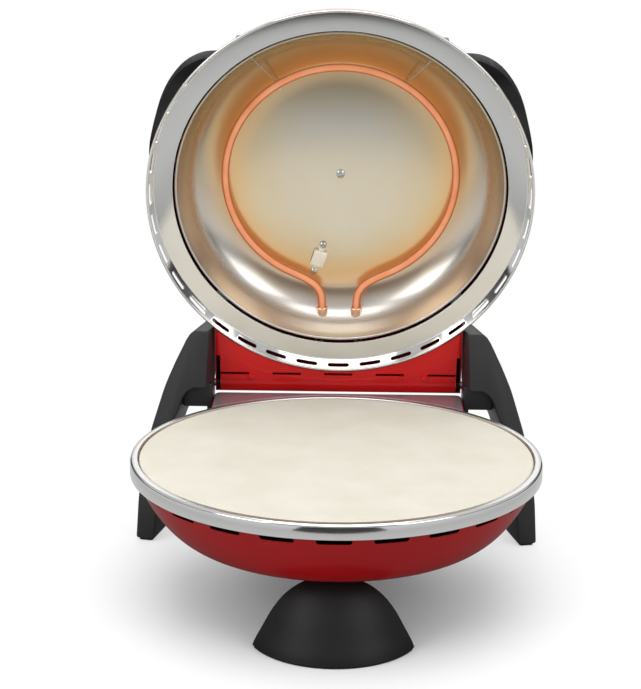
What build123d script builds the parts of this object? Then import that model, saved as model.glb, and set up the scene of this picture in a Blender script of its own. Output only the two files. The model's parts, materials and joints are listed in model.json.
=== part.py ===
from build123d import *
import os
from math import sin, cos, tan, radians, hypot

# A domed electric oven with a round baking stone, its lid hinged at the rear and standing open.
# Millimetres: x to the right, y to the rear, z up from the worktop (z = 0).
# Base and lid are both drawn in the closed oven's coordinates, where the stone axis is x = y = 0.
# The frames BASE and LID carry them to their places.

os.makedirs("parts", exist_ok=True)

# ---------------------------------------------------------------- driving dimensions
ORIGIN_Y = 36.15                    # the stone axis lies this far in front of the origin
OPEN_ANGLE = 78.0                   # lid opening, degrees
HINGE_Y, HINGE_Z = 177.0, 126.4
SHEET = 1.0                         # pressed steel of both shells
THIN_SHEET = 0.8                    # tray and reflector

STONE_R, STONE_TOP, STONE_T = 155.0, 119.6, 10.3
RING_R, RING_TOP, RING_BOTTOM = 162.0, 120.2, 108.2
BOWL_RIM_R, BOWL_RIM_Z, BOWL_BOTTOM = 157.5, 107.4, 55.0
BOX_X, BOX_REAR = 108.0, 167.4      # base's rear housing: half width, rear wall
BOX_FLOOR, BOX_TOP = 72.0, 119.2
TRAY_FLOOR, TRAY_RIM_Z = 83.0, 109.2

LID_EDGE_Z = 120.6                  # lowest edge of the closed lid ring
FOLD_R, FOLD_Z = 157.0, 133.5       # fold between the ring's annulus and its slotted skirt
ANNULUS_IN = 141.6
REFL_RIM_R, REFL_RIM_Z, REFL_FLOOR_Z = 139.0, 133.2, 177.5
DOME_EDGE_Z, DOME_TOP = 134.9, 193.2
LID_BOX_X, LID_BOX_REAR, LID_BOX_Z = 107.0, 183.0, 121.6

VENT_PITCH, VENT_LEN = 45.0, 25.0   # five slots in the deck plate and in the lid panel
ELEMENT_R, ELEMENT_TUBE = 98.5, 3.25
UPPER_EL_Z, LOWER_EL_Z = 168.0, 93.0
UPPER_END_Z, LOWER_END_Z = 165.0, 95.0      # height of the elements' straight ends
UPPER_END_Y, LOWER_END_Y = 140.0, 138.0     # where those ends stop
TERMINAL_X = 15.0
FERRULE_R = 5.0
WIRE_R = 1.3

PIN_R, PIN_HOLE = 3.4, 3.45
SCREW_HOLE, PILOT_R, SHANK_R = 2.3, 1.85, 1.8
TRAY_SCREW_R, TRAY_SCREW_ANGLES = 80, (0, 120, 240)
FOOT_SCREW_X, FOOT_SCREW_Y = (-18, 18), -91
LEG_SCREWS = ((158, 104), (158, 86))        # y, z
HANDLE_SCREW_Y = (-18, -38)
CORD_X, CORD_Z = -40, 96                    # cord outlet in the rear wall
PAD_T = 1.95
LAMP_Y = -46
SIDES = (-1, 1)                             # left, right
CUT = Mode.SUBTRACT

# ---------------------------------------------------------------- frames
BASE = Location((0, -ORIGIN_Y, 0))
LID = (
    Location((0, HINGE_Y - ORIGIN_Y, HINGE_Z))
    * Location((0, 0, 0), (-OPEN_ANGLE, 0, 0))
    * Location((0, -HINGE_Y, -HINGE_Z))
)


def on(frame, plane):
    """A work plane given in the closed oven's coordinates, carried into its frame."""
    return Plane(frame * plane.location)


def upright_axis(frame, origin=(0, 0, 0)):
    plane = on(frame, Plane(origin=origin, z_dir=(0, 0, 1)))
    return Axis(plane.origin, plane.z_dir)


def place(frame, points):
    return [(frame * Location(point)).position for point in points]


def turn(frame, direction):
    """A direction carried into the frame."""
    plane = on(frame, Plane.XY)
    return plane.from_local_coords(Vector(*direction)) - plane.from_local_coords(Vector(0, 0, 0))


BASE_AXIS, LID_AXIS = upright_axis(BASE), upright_axis(LID)
BASE_XZ, BASE_YZ = on(BASE, Plane.XZ), on(BASE, Plane.YZ)
LID_XZ, LID_YZ = on(LID, Plane.XZ), on(LID, Plane.YZ)


# ---------------------------------------------------------------- points and curves
def from_front(radius, degrees, z):
    """Point at a radius, its angle counted from the front."""
    return (radius * sin(radians(degrees)), -radius * cos(radians(degrees)), z)


def mirrored(points):
    """Points mirrored left to right."""
    return [(-x, *rest) for x, *rest in points]


def unit(start, end):
    dx, dy = end[0] - start[0], end[1] - start[1]
    length = hypot(dx, dy)
    return (dx / length, dy / length)


def offset_points(points, distance):
    """Points moved to the left of the running direction of the curve."""
    moved = []
    for i, (x, y) in enumerate(points):
        dx, dy = unit(points[max(i - 1, 0)], points[min(i + 1, len(points) - 1)])
        moved.append((x - dy * distance, y + dx * distance))
    return moved


def smooth(points):
    """Curve through points; a level first or last step is a straight line, tangent to the rest."""
    level_start = abs(points[0][1] - points[1][1]) < 1e-6
    level_end = abs(points[-1][1] - points[-2][1]) < 1e-6
    core = points[int(level_start):len(points) - int(level_end)]
    with BuildLine() as curve:
        if level_start:
            Line(points[0], points[1])
        Spline(*core, tangents=(unit(points[0], points[1]), unit(points[-2], points[-1])))
        if level_end:
            Line(points[-2], points[-1])
    return curve.edges()


def sheet_face(points, thickness):
    """Section of a pressed sheet: a smooth curve, thickened to its left."""
    inner = offset_points(points, thickness)
    if abs(points[0][0]) < 1e-6:
        inner[0] = (0, inner[0][1])
    with BuildLine() as outline:
        add(smooth(points))
        add(smooth(inner))
        Line(points[-1], inner[-1])
        Line(inner[0], points[0])
    make_face(outline.edges())


# ---------------------------------------------------------------- solids, in closed coordinates
def rod(frame, start, end, radius, mode=Mode.ADD):
    run = Vector(*end) - Vector(*start)
    with BuildSketch(on(frame, Plane(origin=start, z_dir=run.normalized()))) as section:
        Circle(radius)
    extrude(section.sketch, amount=run.length, mode=mode)


def block(frame, low, high, mode=Mode.ADD):
    """Upright block between two corners."""
    centre = ((low[0] + high[0]) / 2, (low[1] + high[1]) / 2, low[2])
    with BuildSketch(on(frame, Plane(origin=centre))) as section:
        Rectangle(high[0] - low[0], high[1] - low[1])
    extrude(section.sketch, amount=high[2] - low[2], mode=mode)


def side_block(frame, side, x, y, z, mode=Mode.ADD):
    """Block over ranges of x, y and z, x being counted outwards on the given side."""
    left, right = sorted((side * x[0], side * x[1]))
    block(frame, (left, y[0], z[0]), (right, y[1], z[1]), mode)


def disc(frame, bottom, top, radius, centre=(0, 0), mode=Mode.ADD):
    with BuildSketch(on(frame, Plane(origin=(*centre, bottom)))) as section:
        Circle(radius)
    extrude(section.sketch, amount=top - bottom, mode=mode)


def screw(frame, head, shank, centre=(0, 0)):
    """Upright screw; head and shank are each (bottom, top, radius)."""
    disc(frame, *head, centre=centre)
    disc(frame, *shank, centre=centre)


def side_rods(frame, x, y, z, radius, mode=Mode.ADD):
    """Two rods along x, one on each side, through (y, z)."""
    for side in SIDES:
        rod(frame, (side * x[0], y, z), (side * x[1], y, z), radius, mode)


def cable(frame, points, radius=WIRE_R):
    with BuildLine() as path:
        Spline(*place(frame, points))
    with BuildSketch(Plane(origin=path.line @ 0, z_dir=path.line % 0)) as section:
        Circle(radius)
    sweep(section.sketch, path=path.wires()[0])


# ---------------------------------------------------------------- heating parts, base and lid
def add_element(frame, z, end_z, end_y):
    """Sheathed heating element: an open ring with both ends bent out to the rear."""
    gap = radians(24.0)             # half the ring's opening
    rise = end_z - z
    right = [
        (ELEMENT_R * sin(gap), ELEMENT_R * cos(gap), z),
        (29.0, 95.6, z + rise * 0.1),
        (20.6, 101.6, z + rise * 0.35),
        (16.2, 108.6, z + rise * 0.7),
        (TERMINAL_X, 116.5, end_z),
    ]
    right_bend, left_bend = place(frame, right), place(frame, mirrored(right))
    right_end, left_end = place(frame, [(x, end_y, end_z) for x in (TERMINAL_X, -TERMINAL_X)])
    front = place(frame, [(0, -ELEMENT_R, z)])[0]
    rearward = turn(frame, (0, 1, 0))
    with BuildLine() as path:
        ThreePointArc(right_bend[0], front, left_bend[0])
        Spline(*right_bend, tangents=(turn(frame, (-cos(gap), sin(gap), 0)), rearward))
        Spline(*left_bend, tangents=(turn(frame, (cos(gap), sin(gap), 0)), rearward))
        Line(right_bend[-1], right_end)
        Line(left_bend[-1], left_end)
    with BuildSketch(Plane(origin=left_end, z_dir=turn(frame, (0, -1, 0)))) as section:
        Circle(ELEMENT_TUBE)
    sweep(section.sketch, path=path.wires()[0])


def end_rod(frame, side, z, y_from, y_to, radius, mode=Mode.ADD):
    """Rod along one end of the element."""
    rod(frame, (side * TERMINAL_X, y_from, z), (side * TERMINAL_X, y_to, z), radius, mode)


def cut_ferrule_holes(frame, z):
    for side in SIDES:
        end_rod(frame, side, z, 105, 140, FERRULE_R + 0.05, CUT)


def add_ferrules(frame, z, y_from, y_to):
    """Two plain bushes around the element ends."""
    for side in SIDES:
        end_rod(frame, side, z, y_from, y_to, FERRULE_R)
        end_rod(frame, side, z, y_from - 5, y_to + 5, ELEMENT_TUBE + 0.1, CUT)


def add_terminals(frame, z, y):
    """Flat tabs with a cross hole, at the ends of the element."""
    for side in SIDES:
        x = side * TERMINAL_X
        block(frame, (x - 3.1, y + 0.05, z - 0.4), (x + 3.1, y + 11, z + 0.4))
        rod(frame, (x, y + 7.5, z - 2), (x, y + 7.5, z + 2), 0.8, CUT)


def lower_element():
    with BuildPart() as body:
        add_element(BASE, LOWER_EL_Z, LOWER_END_Z, LOWER_END_Y)
    return body.part


def lower_ferrules():
    with BuildPart() as body:
        add_ferrules(BASE, LOWER_END_Z, 119.5, 133.0)
    return body.part


def lower_terminals():
    with BuildPart() as body:
        add_terminals(BASE, LOWER_END_Z, LOWER_END_Y)
    return body.part


def upper_element():
    with BuildPart() as body:
        add_element(LID, UPPER_EL_Z, UPPER_END_Z, UPPER_END_Y)
    return body.part


def upper_ferrules():
    with BuildPart() as body:
        add_ferrules(LID, UPPER_END_Z, 120.5, 135.0)
    return body.part


def upper_terminals():
    with BuildPart() as body:
        add_terminals(LID, UPPER_END_Z, UPPER_END_Y)
    return body.part


# ================================================================ BASE
# bowl outline, centre to rim: radius, z
BOWL = [
    (0, BOWL_BOTTOM), (84, BOWL_BOTTOM), (108, BOWL_BOTTOM + 1.6), (122, 61.0),
    (134, 70.0), (145, 83.5), (152.5, 96.5), (BOWL_RIM_R, BOWL_RIM_Z),
]
AIR_VENT_STEP = 15.4                # degrees
AIR_VENT_R, AIR_VENT_Z = 150, 103.4


def add_base_solid(inset):
    """Bowl plus rear housing, shrunk by inset."""
    points = offset_points(BOWL, inset)
    points[-1] = (points[-1][0], BOWL_RIM_Z)
    with BuildSketch(BASE_XZ) as bowl:
        with BuildLine():
            add(smooth(points))
            Polyline(points[-1], (0, BOWL_RIM_Z), (0, points[0][1]))
        make_face()
    revolve(bowl.sketch, axis=BASE_AXIS)
    floor, rear, top = BOX_FLOOR + inset, BOX_REAR - inset, BOX_TOP - inset
    with BuildSketch(BASE_YZ) as box:
        with BuildLine():
            Polyline((60, floor), (BOX_REAR - 14, floor), (rear, BOX_FLOOR + 16),
                     (rear, top), (60, top), close=True)
        make_face()
    extrude(box.sketch, amount=BOX_X - inset, both=True)


def base_shell():
    with BuildPart() as cavity:
        add_base_solid(SHEET)
    with BuildPart() as shell:
        add_base_solid(0)
        fillet([e for e in shell.edges().filter_by(Axis.Z)
                if abs(abs(e.center().X) - BOX_X) < 0.1
                and e.center().Y > BOX_REAR - ORIGIN_Y - 1], 4)
        add(cavity.part, mode=CUT)
        # room for the trim ring and the tray, then a flat flange at the rim
        disc(BASE, BOWL_RIM_Z, 125, RING_R + 0.4, mode=CUT)
        with BuildSketch(BASE_XZ):
            with Locations((157.6, BOWL_RIM_Z - 0.2)):
                Rectangle(6.0, 1.2)
        revolve(axis=BASE_AXIS)
        # opening under the deck plate
        block(BASE, (-98, 112, 117), (98, 160, 121), CUT)
        # air vents round the front, just under the trim ring
        for k in range(-7, 8):
            angle = AIR_VENT_STEP * k
            vent = Plane(origin=from_front(AIR_VENT_R, angle, AIR_VENT_Z),
                         x_dir=(cos(radians(angle)), sin(radians(angle)), 0),
                         z_dir=from_front(1, angle, 0))
            with BuildSketch(on(BASE, vent)):
                RectangleRounded(25, 5.0, 1.6)
            extrude(amount=9, both=True, mode=CUT)
        # cord outlet, foot screw holes, leg screw holes
        rod(BASE, (CORD_X, BOX_REAR - 5, CORD_Z), (CORD_X, BOX_REAR + 5, CORD_Z), 7.1, CUT)
        for x in FOOT_SCREW_X:
            rod(BASE, (x, FOOT_SCREW_Y, 50), (x, FOOT_SCREW_Y, 60), SCREW_HOLE, CUT)
        for y, z in LEG_SCREWS:
            side_rods(BASE, (100, 112), y, z, SCREW_HOLE, CUT)
    return shell.part


def base_ring():
    """Trim ring round the stone: deep band, top flange, inner lip."""
    with BuildPart() as body:
        with BuildSketch(BASE_XZ):
            with BuildLine():
                Polyline(
                    (RING_R, RING_BOTTOM), (RING_R, RING_TOP - 2.0),
                    (RING_R - 1.2, RING_TOP - 0.4), (RING_R - 5.2, RING_TOP),
                    (RING_R - 6.4, RING_TOP - 0.8), (RING_R - 6.4, 114.0),
                    (RING_R - 5.5, 114.0), (RING_R - 5.5, RING_TOP - 1.3),
                    (RING_R - 1.6, RING_TOP - 1.6), (RING_R - 1.0, RING_TOP - 2.4),
                    (RING_R - 1.0, RING_BOTTOM), close=True)
            make_face()
        revolve(axis=BASE_AXIS)
    return body.part


def stone():
    with BuildPart() as body:
        disc(BASE, STONE_TOP - STONE_T, STONE_TOP, STONE_R)
        fillet(body.edges().filter_by(GeomType.CIRCLE), 1.8)
    return body.part


# tray outline, centre to rim: radius, z
TRAY = [
    (0, TRAY_FLOOR), (108, TRAY_FLOOR), (118, 86.5), (124, 93.0), (131, 102.0),
    (138.5, TRAY_RIM_Z - 1.6), (146, TRAY_RIM_Z - 0.9), (160.6, TRAY_RIM_Z - 0.9),
]


def cut_tray_screw_holes(bottom):
    for angle in TRAY_SCREW_ANGLES:
        rod(BASE, from_front(TRAY_SCREW_R, angle, bottom), from_front(TRAY_SCREW_R, angle, 90),
            2.1, CUT)


def base_tray():
    """Tray under the stone."""
    with BuildPart() as body:
        with BuildSketch(BASE_XZ):
            sheet_face(TRAY, THIN_SHEET)
        revolve(axis=BASE_AXIS)
        cut_ferrule_holes(BASE, LOWER_END_Z)
        cut_tray_screw_holes(78)
    return body.part


def lower_clips():
    """Three stepped clips between the tray floor and the lower element."""
    bottom, top = TRAY_FLOOR + 0.85, TRAY_FLOOR + 1.75
    shelf_bottom, shelf_top = LOWER_EL_Z - 4.4, LOWER_EL_Z - 3.4
    with BuildPart() as body:
        for angle in TRAY_SCREW_ANGLES:
            outward = Vector(*from_front(1, angle, 0))
            across = Vector(cos(radians(angle)), sin(radians(angle)), 0)
            side = Plane(origin=tuple(outward * TRAY_SCREW_R + across * 4),
                         x_dir=tuple(outward), z_dir=tuple(across * -1))
            with BuildSketch(on(BASE, side)):
                with BuildLine():
                    Polyline((-6, bottom), (13.0, bottom), (13.0, shelf_bottom),
                             (24.0, shelf_bottom), (24.0, shelf_top), (12.0, shelf_top),
                             (12.0, top), (-6, top), close=True)
                make_face()
            extrude(amount=8)
        cut_tray_screw_holes(82)
    return body.part


def clip_screws():
    with BuildPart() as body:
        for angle in TRAY_SCREW_ANGLES:
            screw(BASE, head=(84.8, 86.6, 3.6), shank=(76.0, 84.8, 2.0),
                  centre=from_front(TRAY_SCREW_R, angle, 0)[:2])
    return body.part


def deck_plate():
    """Plate behind the stone, with five slots."""
    with BuildPart() as body:
        block(BASE, (-106.5, 120, BOX_TOP + 0.05), (106.5, BOX_REAR - 0.4, BOX_TOP + 1.05))
        fillet([e for e in body.edges().filter_by(Axis.Z)
                if e.center().Y > BOX_REAR - ORIGIN_Y - 2], 5)
        disc(BASE, 115, 125, RING_R + 0.5, mode=CUT)
        for k in range(-2, 3):
            with BuildSketch(on(BASE, Plane(origin=(k * VENT_PITCH, 161.5, 110)))):
                SlotOverall(VENT_LEN, 2.6)
            extrude(amount=20, mode=CUT)
    return body.part


# ---------------------------------------------------------------- front foot
FOOT_Y, FOOT_BACK = -74.5, -103.0   # dome axis, flat rear face
FOOT_WALL = 3.2
# dome outline, bottom to top: radius from the foot's own axis, z
FOOT = [
    (67.4, 2.0), (65.6, 7.0), (61.1, 16.7), (54.4, 31.0), (48.75, 40.5),
    (43.5, 47.2), (38.25, 52.3), (31.0, 58.0), (24.0, 62.5),
]


def add_foot_solid(inset):
    """Dome segment cut off flat behind; an inset one runs on below the foot."""
    points = [(radius - inset, z) for radius, z in FOOT]
    plane = Plane(origin=(0, FOOT_Y, 0), x_dir=(1, 0, 0), z_dir=(0, -1, 0))
    with BuildSketch(on(BASE, plane)) as dome:
        with BuildLine():
            add(smooth(points))
            if inset:
                Polyline(points[-1], (0, points[-1][1]), (0, -1), (points[0][0], -1), points[0])
            else:
                Polyline(points[-1], (0, points[-1][1]), (0, points[0][1]), points[0])
        make_face()
    revolve(dome.sketch, axis=upright_axis(BASE, (0, FOOT_Y, 0)))
    block(BASE, (-80, FOOT_BACK - inset, -5), (80, 0, 70), CUT)


def front_foot():
    """Hollow dome segment under the front of the bowl."""
    head_front, head_back = -104, -79
    gap = 0.15                      # between foot and bowl
    with BuildPart() as void:
        add_foot_solid(FOOT_WALL)
        block(BASE, (-80, -160, 45), (80, 0, 70), CUT)
    with BuildPart() as bowl:
        with BuildSketch(BASE_XZ):
            with BuildLine():
                points = [(0, BOWL_BOTTOM - gap)] + offset_points(BOWL, -gap)[1:]
                add(smooth(points))
                Polyline(points[-1], (0, points[-1][1]), points[0])
            make_face()
        revolve(axis=BASE_AXIS)
    with BuildPart() as body:
        add_foot_solid(0)
        add(void.part, mode=CUT)
        # mounting head behind the dome, with two triangular ribs below it
        block(BASE, (-30, head_front, 44), (30, head_back, 60))
        for x in (-24, 24):
            rib = Plane(origin=(x - 1.5, 0, 0), x_dir=(0, 1, 0), z_dir=(1, 0, 0))
            with BuildSketch(on(BASE, rib)):
                with BuildLine():
                    Polyline((head_front, 8), (head_back, 44.5), (head_front, 44.5), close=True)
                make_face()
            extrude(amount=3)
        add(bowl.part, mode=CUT)
        for x in FOOT_SCREW_X:
            rod(BASE, (x, FOOT_SCREW_Y, 30), (x, FOOT_SCREW_Y, 60), PILOT_R, CUT)
    return body.part


def front_foot_pad():
    """Curved strip under the foot's wall, closed by a straight bar behind."""
    back = FOOT_BACK - 0.8
    with BuildPart() as body:
        with BuildSketch(on(BASE, Plane(origin=(0, FOOT_Y, 0)))):
            Circle(66.6)
            Circle(62.0, mode=CUT)
            with Locations((0, 50 + back - FOOT_Y)):
                Rectangle(160, 100, mode=CUT)
        extrude(amount=PAD_T)
        block(BASE, (-56, FOOT_BACK - FOOT_WALL, 0), (56, back, PAD_T))
    return body.part


def foot_screws():
    seat = BOWL_BOTTOM + 2.0
    with BuildPart() as body:
        for x in FOOT_SCREW_X:
            screw(BASE, head=(seat, BOWL_BOTTOM + 4.3, 3.8), shank=(45, seat, SHANK_R),
                  centre=(x, FOOT_SCREW_Y))
    return body.part


# ---------------------------------------------------------------- legs
TOE = radians(13.0)                 # toe-out
LEAN = 0.25                         # rearward lean, mm per mm of height
LEG_DEPTH = 46.0
LEG_X, LEG_Y = 172.0, 119.0         # a point of the blade's front face, at the worktop
LEG_SIDE = BOX_X + 0.15             # face against the rear housing
# outline of the right leg: x, z
LEG = [
    (157.6, 2), (172.8, 2), (171.2, 39), (162.0, 90.8), (149.0, 132), (140.3, 151.8),
    (131.0, 170.8), (127.4, 176.4), (122.5, 178.9), (111.2, 179.2), (113.3, 131.6),
    (123.6, 131.2), (130.0, 127.2), (134.0, 121.2), (137.4, 110.3), (143.4, 98.9),
    (150.6, 70), (154.8, 30), (156.2, 16),
]


def add_leg(side):
    """Leaning, toed-out blade that widens into a hinge tower."""
    across = Vector(cos(TOE), side * sin(TOE), 0)
    face = on(BASE, Plane(origin=(side * LEG_X, LEG_Y, 0), x_dir=tuple(across),
                          z_dir=tuple(across.cross(Vector(0, LEAN, 1)).normalized())))
    points = [(side * x, LEG_Y + LEAN * z + (x - LEG_X) * tan(TOE), z) for x, z in LEG]
    flat = [face.to_local_coords(point) for point in place(BASE, points)]
    with BuildSketch(face) as outline:
        with BuildLine():
            Polyline(*[(point.X, point.Y) for point in flat], close=True)
        make_face()
    extrude(outline.sketch, amount=LEG_DEPTH, dir=Vector(-side * sin(TOE), cos(TOE), 0))
    # arm beside the rear housing, trimmed flat against it
    side_block(BASE, side, (LEG_SIDE, 134), (148, 183), (112.5, 133.0))
    side_block(BASE, side, (90, LEG_SIDE), (90, 230), (-1, 200), CUT)
    # lug down the housing's side
    side_block(BASE, side, (LEG_SIDE, 113), (150, 165), (78, 113))
    # flat underside, just above the pads
    block(BASE, (-200, 60, -3), (200, 260, 1.99), CUT)
    # hinge pin bore and screw pilot holes
    rod(BASE, (side * 104, HINGE_Y, HINGE_Z), (side * 127, HINGE_Y, HINGE_Z), PIN_HOLE, CUT)
    for y, z in LEG_SCREWS:
        rod(BASE, (side * 104, y, z), (side * 116, y, z), PILOT_R, CUT)


def left_leg():
    with BuildPart() as body:
        add_leg(-1)
    return body.part


def right_leg():
    with BuildPart() as body:
        add_leg(1)
    return body.part


def leg_pads():
    with BuildPart() as body:
        for side in SIDES:
            plane = Plane(origin=(side * 160.0, 139.5, 0), x_dir=(cos(TOE), side * sin(TOE), 0))
            with BuildSketch(on(BASE, plane)):
                RectangleRounded(12.0, 41.0, 2.5)
            extrude(amount=PAD_T)
    return body.part


def leg_screws():
    """Screws from inside the rear housing into the legs: heads, then shanks."""
    with BuildPart() as body:
        for y, z in LEG_SCREWS:
            side_rods(BASE, (104.2, 106.9), y, z, 3.8)
            side_rods(BASE, (106.9, 115.5), y, z, SHANK_R)
    return body.part


def hinge_pins():
    with BuildPart() as body:
        side_rods(BASE, (101.8, 126.0), HINGE_Y, HINGE_Z, PIN_R)
    return body.part


# ---------------------------------------------------------------- electrics in the base
BLOCK_PORTS_X = (-25.5, -17, -8.5)
PORT_Z = 77.5
# wires from the left terminal, the right terminal and the cord to the terminal block: x, y, z
BASE_WIRES = [
    [(-TERMINAL_X, 149.4, LOWER_END_Z), (-TERMINAL_X, 154, 94.6), (-16.5, 158, 86),
     (-17, 154, 78), (-17, 150.3, PORT_Z)],
    [(TERMINAL_X, 149.4, LOWER_END_Z), (13.5, 154, 94.2), (2, 157, 87),
     (-8, 153, 79.6), (-8.5, 150.3, PORT_Z)],
    [(-41.6, 156.6, 96.0), (-41, 150, 93), (-34, 149.5, 84),
     (-26.5, 152.4, 79.2), (-25.5, 150.3, PORT_Z)],
]


def terminal_block():
    with BuildPart() as body:
        block(BASE, (-30, 136, 73.2), (-4, 150, 86))
        for x in BLOCK_PORTS_X:
            disc(BASE, 80, 87, 2.4, centre=(x, 143), mode=CUT)
            rod(BASE, (x, 146.5, PORT_Z), (x, 151, PORT_Z), 1.5, CUT)
    return body.part


def base_wiring():
    with BuildPart() as body:
        for points in BASE_WIRES:
            cable(BASE, points)
    return body.part


def strain_relief():
    """Collared sleeve round the cord; each row is start and end behind the rear wall, radius."""
    with BuildPart() as body:
        for start, end, radius, mode in (
            (-5, 4, 7.0, Mode.ADD),
            (0.1, 3, 9.5, Mode.ADD),
            (-8, 20, 3.5, CUT),
        ):
            rod(BASE, (CORD_X, BOX_REAR + start, CORD_Z), (CORD_X, BOX_REAR + end, CORD_Z),
                radius, mode)
    return body.part


CORD_R = 3.4
CORD_START_Y = 158.5
# cord's drop from the rear wall to the worktop: x, y, z
CORD_DROP = [
    (CORD_X, 176, CORD_Z), (-39.8, 185.5, 90), (-38.5, 191.5, 74), (-36, 194, 50),
    (-30, 196, 24), (-16, 198, 8.4), (6, 199, 4.2),
]
COIL_Z = 4.2
COIL_LEFT, COIL_RIGHT = -30, 45
COIL_FRONT, COIL_BACK = 199, 230.93
PLUG_Y, PLUG_Z = 211, 7.2


def power_cord():
    """Cord from the rear wall, laid on the worktop in two U-turns that end at the plug."""
    def at(*point):
        return place(BASE, [point])[0]

    def u_turn(x, front, bulge):
        """The ends and the middle of a half circle from front to COIL_BACK."""
        radius = (COIL_BACK - front) / 2
        return (at(x, front, COIL_Z), at(x + bulge * radius, (COIL_BACK + front) / 2, COIL_Z),
                at(x, COIL_BACK, COIL_Z))

    right_turn = u_turn(COIL_RIGHT, COIL_FRONT, 1)
    left_turn = u_turn(COIL_LEFT, PLUG_Y, -1)
    start = at(CORD_X, CORD_START_Y, CORD_Z)
    with BuildPart() as body:
        with BuildLine() as run:
            Line(start, at(*CORD_DROP[0]))
            Spline(*place(BASE, CORD_DROP), tangents=((0, 1, 0), (1, 0, 0)))
            Line(at(*CORD_DROP[-1]), right_turn[0])
            ThreePointArc(*right_turn)
            Line(right_turn[2], left_turn[2])
            ThreePointArc(*left_turn[::-1])
            Spline(left_turn[0], at(1.2, PLUG_Y, PLUG_Z), tangents=((1, 0, 0), (1, 0, 0)))
        with BuildSketch(Plane(origin=start, z_dir=(0, 1, 0))) as section:
            Circle(CORD_R)
        sweep(section.sketch, path=run.wires()[0])
    return body.part


def plug():
    """Body that widens from the cord to a rounded block."""
    neck = on(BASE, Plane(origin=(1.5, PLUG_Y, PLUG_Z), z_dir=(1, 0, 0)))
    shoulder = on(BASE, Plane(origin=(22, PLUG_Y, PLUG_Z), z_dir=(1, 0, 0)))
    with BuildPart() as body:
        with BuildSketch(neck):
            Circle(4.6)
        with BuildSketch(shoulder):
            RectangleRounded(14, 12, 5.5)
        loft()
        with BuildSketch(shoulder):
            RectangleRounded(14, 12, 5.5)
        extrude(amount=12)
    return body.part


def plug_pins():
    with BuildPart() as body:
        for y in (PLUG_Y - 4.0, PLUG_Y + 4.0):
            rod(BASE, (34.05, y, PLUG_Z), (50, y, PLUG_Z), 2.0)
    return body.part


# ================================================================ LID (drawn closed)
# dome outline, edge to centre: radius, z
DOME = [
    (158.0, DOME_EDGE_Z), (157.0, 141.0), (153.6, 150.5), (148.0, 160.0), (139.5, 169.5),
    (127.5, 178.5), (111.0, 186.2), (90.0, 191.0), (66.0, DOME_TOP), (0, DOME_TOP),
]


def lid_box(inset):
    """The lid's rear housing with large rounded shoulders, shrunk by inset."""
    half_width, rear = LID_BOX_X - inset, LID_BOX_REAR - inset
    bottom = LID_BOX_Z - 2 if inset else LID_BOX_Z
    with BuildPart() as body:
        with BuildSketch(LID_YZ) as section:
            with BuildLine():
                Polyline((48, bottom), (rear, bottom), (rear, 155),
                         (LID_BOX_REAR - 12 - inset * 0.4, 168 - inset * 0.9),
                         (146, 176 - inset), (48, 184 - inset), close=True)
            make_face()
        extrude(section.sketch, amount=half_width, both=True)
        # the long side edges of the roof
        closed = on(LID, Plane.XY)
        shoulders = []
        for edge in body.edges():
            centre = closed.to_local_coords(edge.center())
            run = closed.to_local_coords(edge @ 1) - closed.to_local_coords(edge @ 0)
            if (abs(abs(centre.X) - half_width) < 0.01 and abs(run.X) < 0.01
                    and centre.Z > 150 and 60 < centre.Y < rear - 0.01):
                shoulders.append(edge)
        fillet(shoulders, 13 - inset)
    return body.part


def add_lid_solid(inset, box):
    """Dome plus rear housing, shrunk by inset; an inset dome runs on below the edge."""
    points = offset_points(DOME, inset)
    points[-1] = (0, DOME_TOP - inset)
    with BuildSketch(LID_XZ) as dome:
        with BuildLine():
            add(smooth(points))
            if inset:
                bottom = DOME_EDGE_Z - 2
                Polyline(points[-1], (0, bottom), (points[0][0], bottom), points[0])
            else:
                Polyline(points[-1], (0, DOME_EDGE_Z), points[0])
        make_face()
    revolve(dome.sketch, axis=LID_AXIS)
    add(box)


def lid_shell():
    box, box_void = lid_box(0), lid_box(SHEET)
    with BuildPart() as cavity:
        add_lid_solid(SHEET, box_void)
    with BuildPart() as shell:
        add_lid_solid(0, box)
        add(cavity.part, mode=CUT)
        disc(LID, 110, DOME_EDGE_Z - 0.05, RING_R + 0.6, mode=CUT)
        # flat flange just above the ring's annulus
        with BuildSketch(LID_XZ):
            with Locations((155.2, DOME_EDGE_Z + 0.55)):
                Rectangle(4.6, 0.9)
        revolve(axis=LID_AXIS)
        # spindle, lamp, handle and hinge holes
        disc(LID, 185, 200, 5.0, mode=CUT)
        disc(LID, 185, 200, 4.2, centre=(0, LAMP_Y), mode=CUT)
        for y in HANDLE_SCREW_Y:
            side_rods(LID, (129.3, 168.7), y, 160.1, SCREW_HOLE, CUT)
        side_rods(LID, (104, 110), HINGE_Y, HINGE_Z, PIN_R + 0.6, CUT)
    return shell.part


def lid_ring():
    """Flat annulus and sloping skirt, with a beaded edge and 36 slots in the skirt."""
    skirt_end, bead = 121.4, 1.1
    slot_r, slot_z = 159.2, 126.9
    with BuildPart() as body:
        with BuildSketch(LID_XZ):
            with BuildLine():
                Polyline((161.6, skirt_end), (FOLD_R + 0.9, FOLD_Z + 0.6),
                         (FOLD_R + 0.3, FOLD_Z + 0.95), (ANNULUS_IN, FOLD_Z + 0.95),
                         (ANNULUS_IN, FOLD_Z + 0.15), (FOLD_R - 0.1, FOLD_Z + 0.15),
                         (160.7, skirt_end), close=True)
            make_face()
            with Locations((160.9, LID_EDGE_Z + bead)):
                Circle(bead)
        revolve(axis=LID_AXIS)
        for k in range(36):
            angle = radians(10 * k)
            slot = Plane(origin=(slot_r * sin(angle), slot_r * cos(angle), slot_z),
                         x_dir=(cos(angle), -sin(angle), 0),
                         z_dir=(0.957 * sin(angle), 0.957 * cos(angle), 0.29))
            with BuildSketch(on(LID, slot)):
                SlotOverall(18.5, 4.4)
            extrude(amount=3.0, both=True, mode=CUT)
    return body.part


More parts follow.
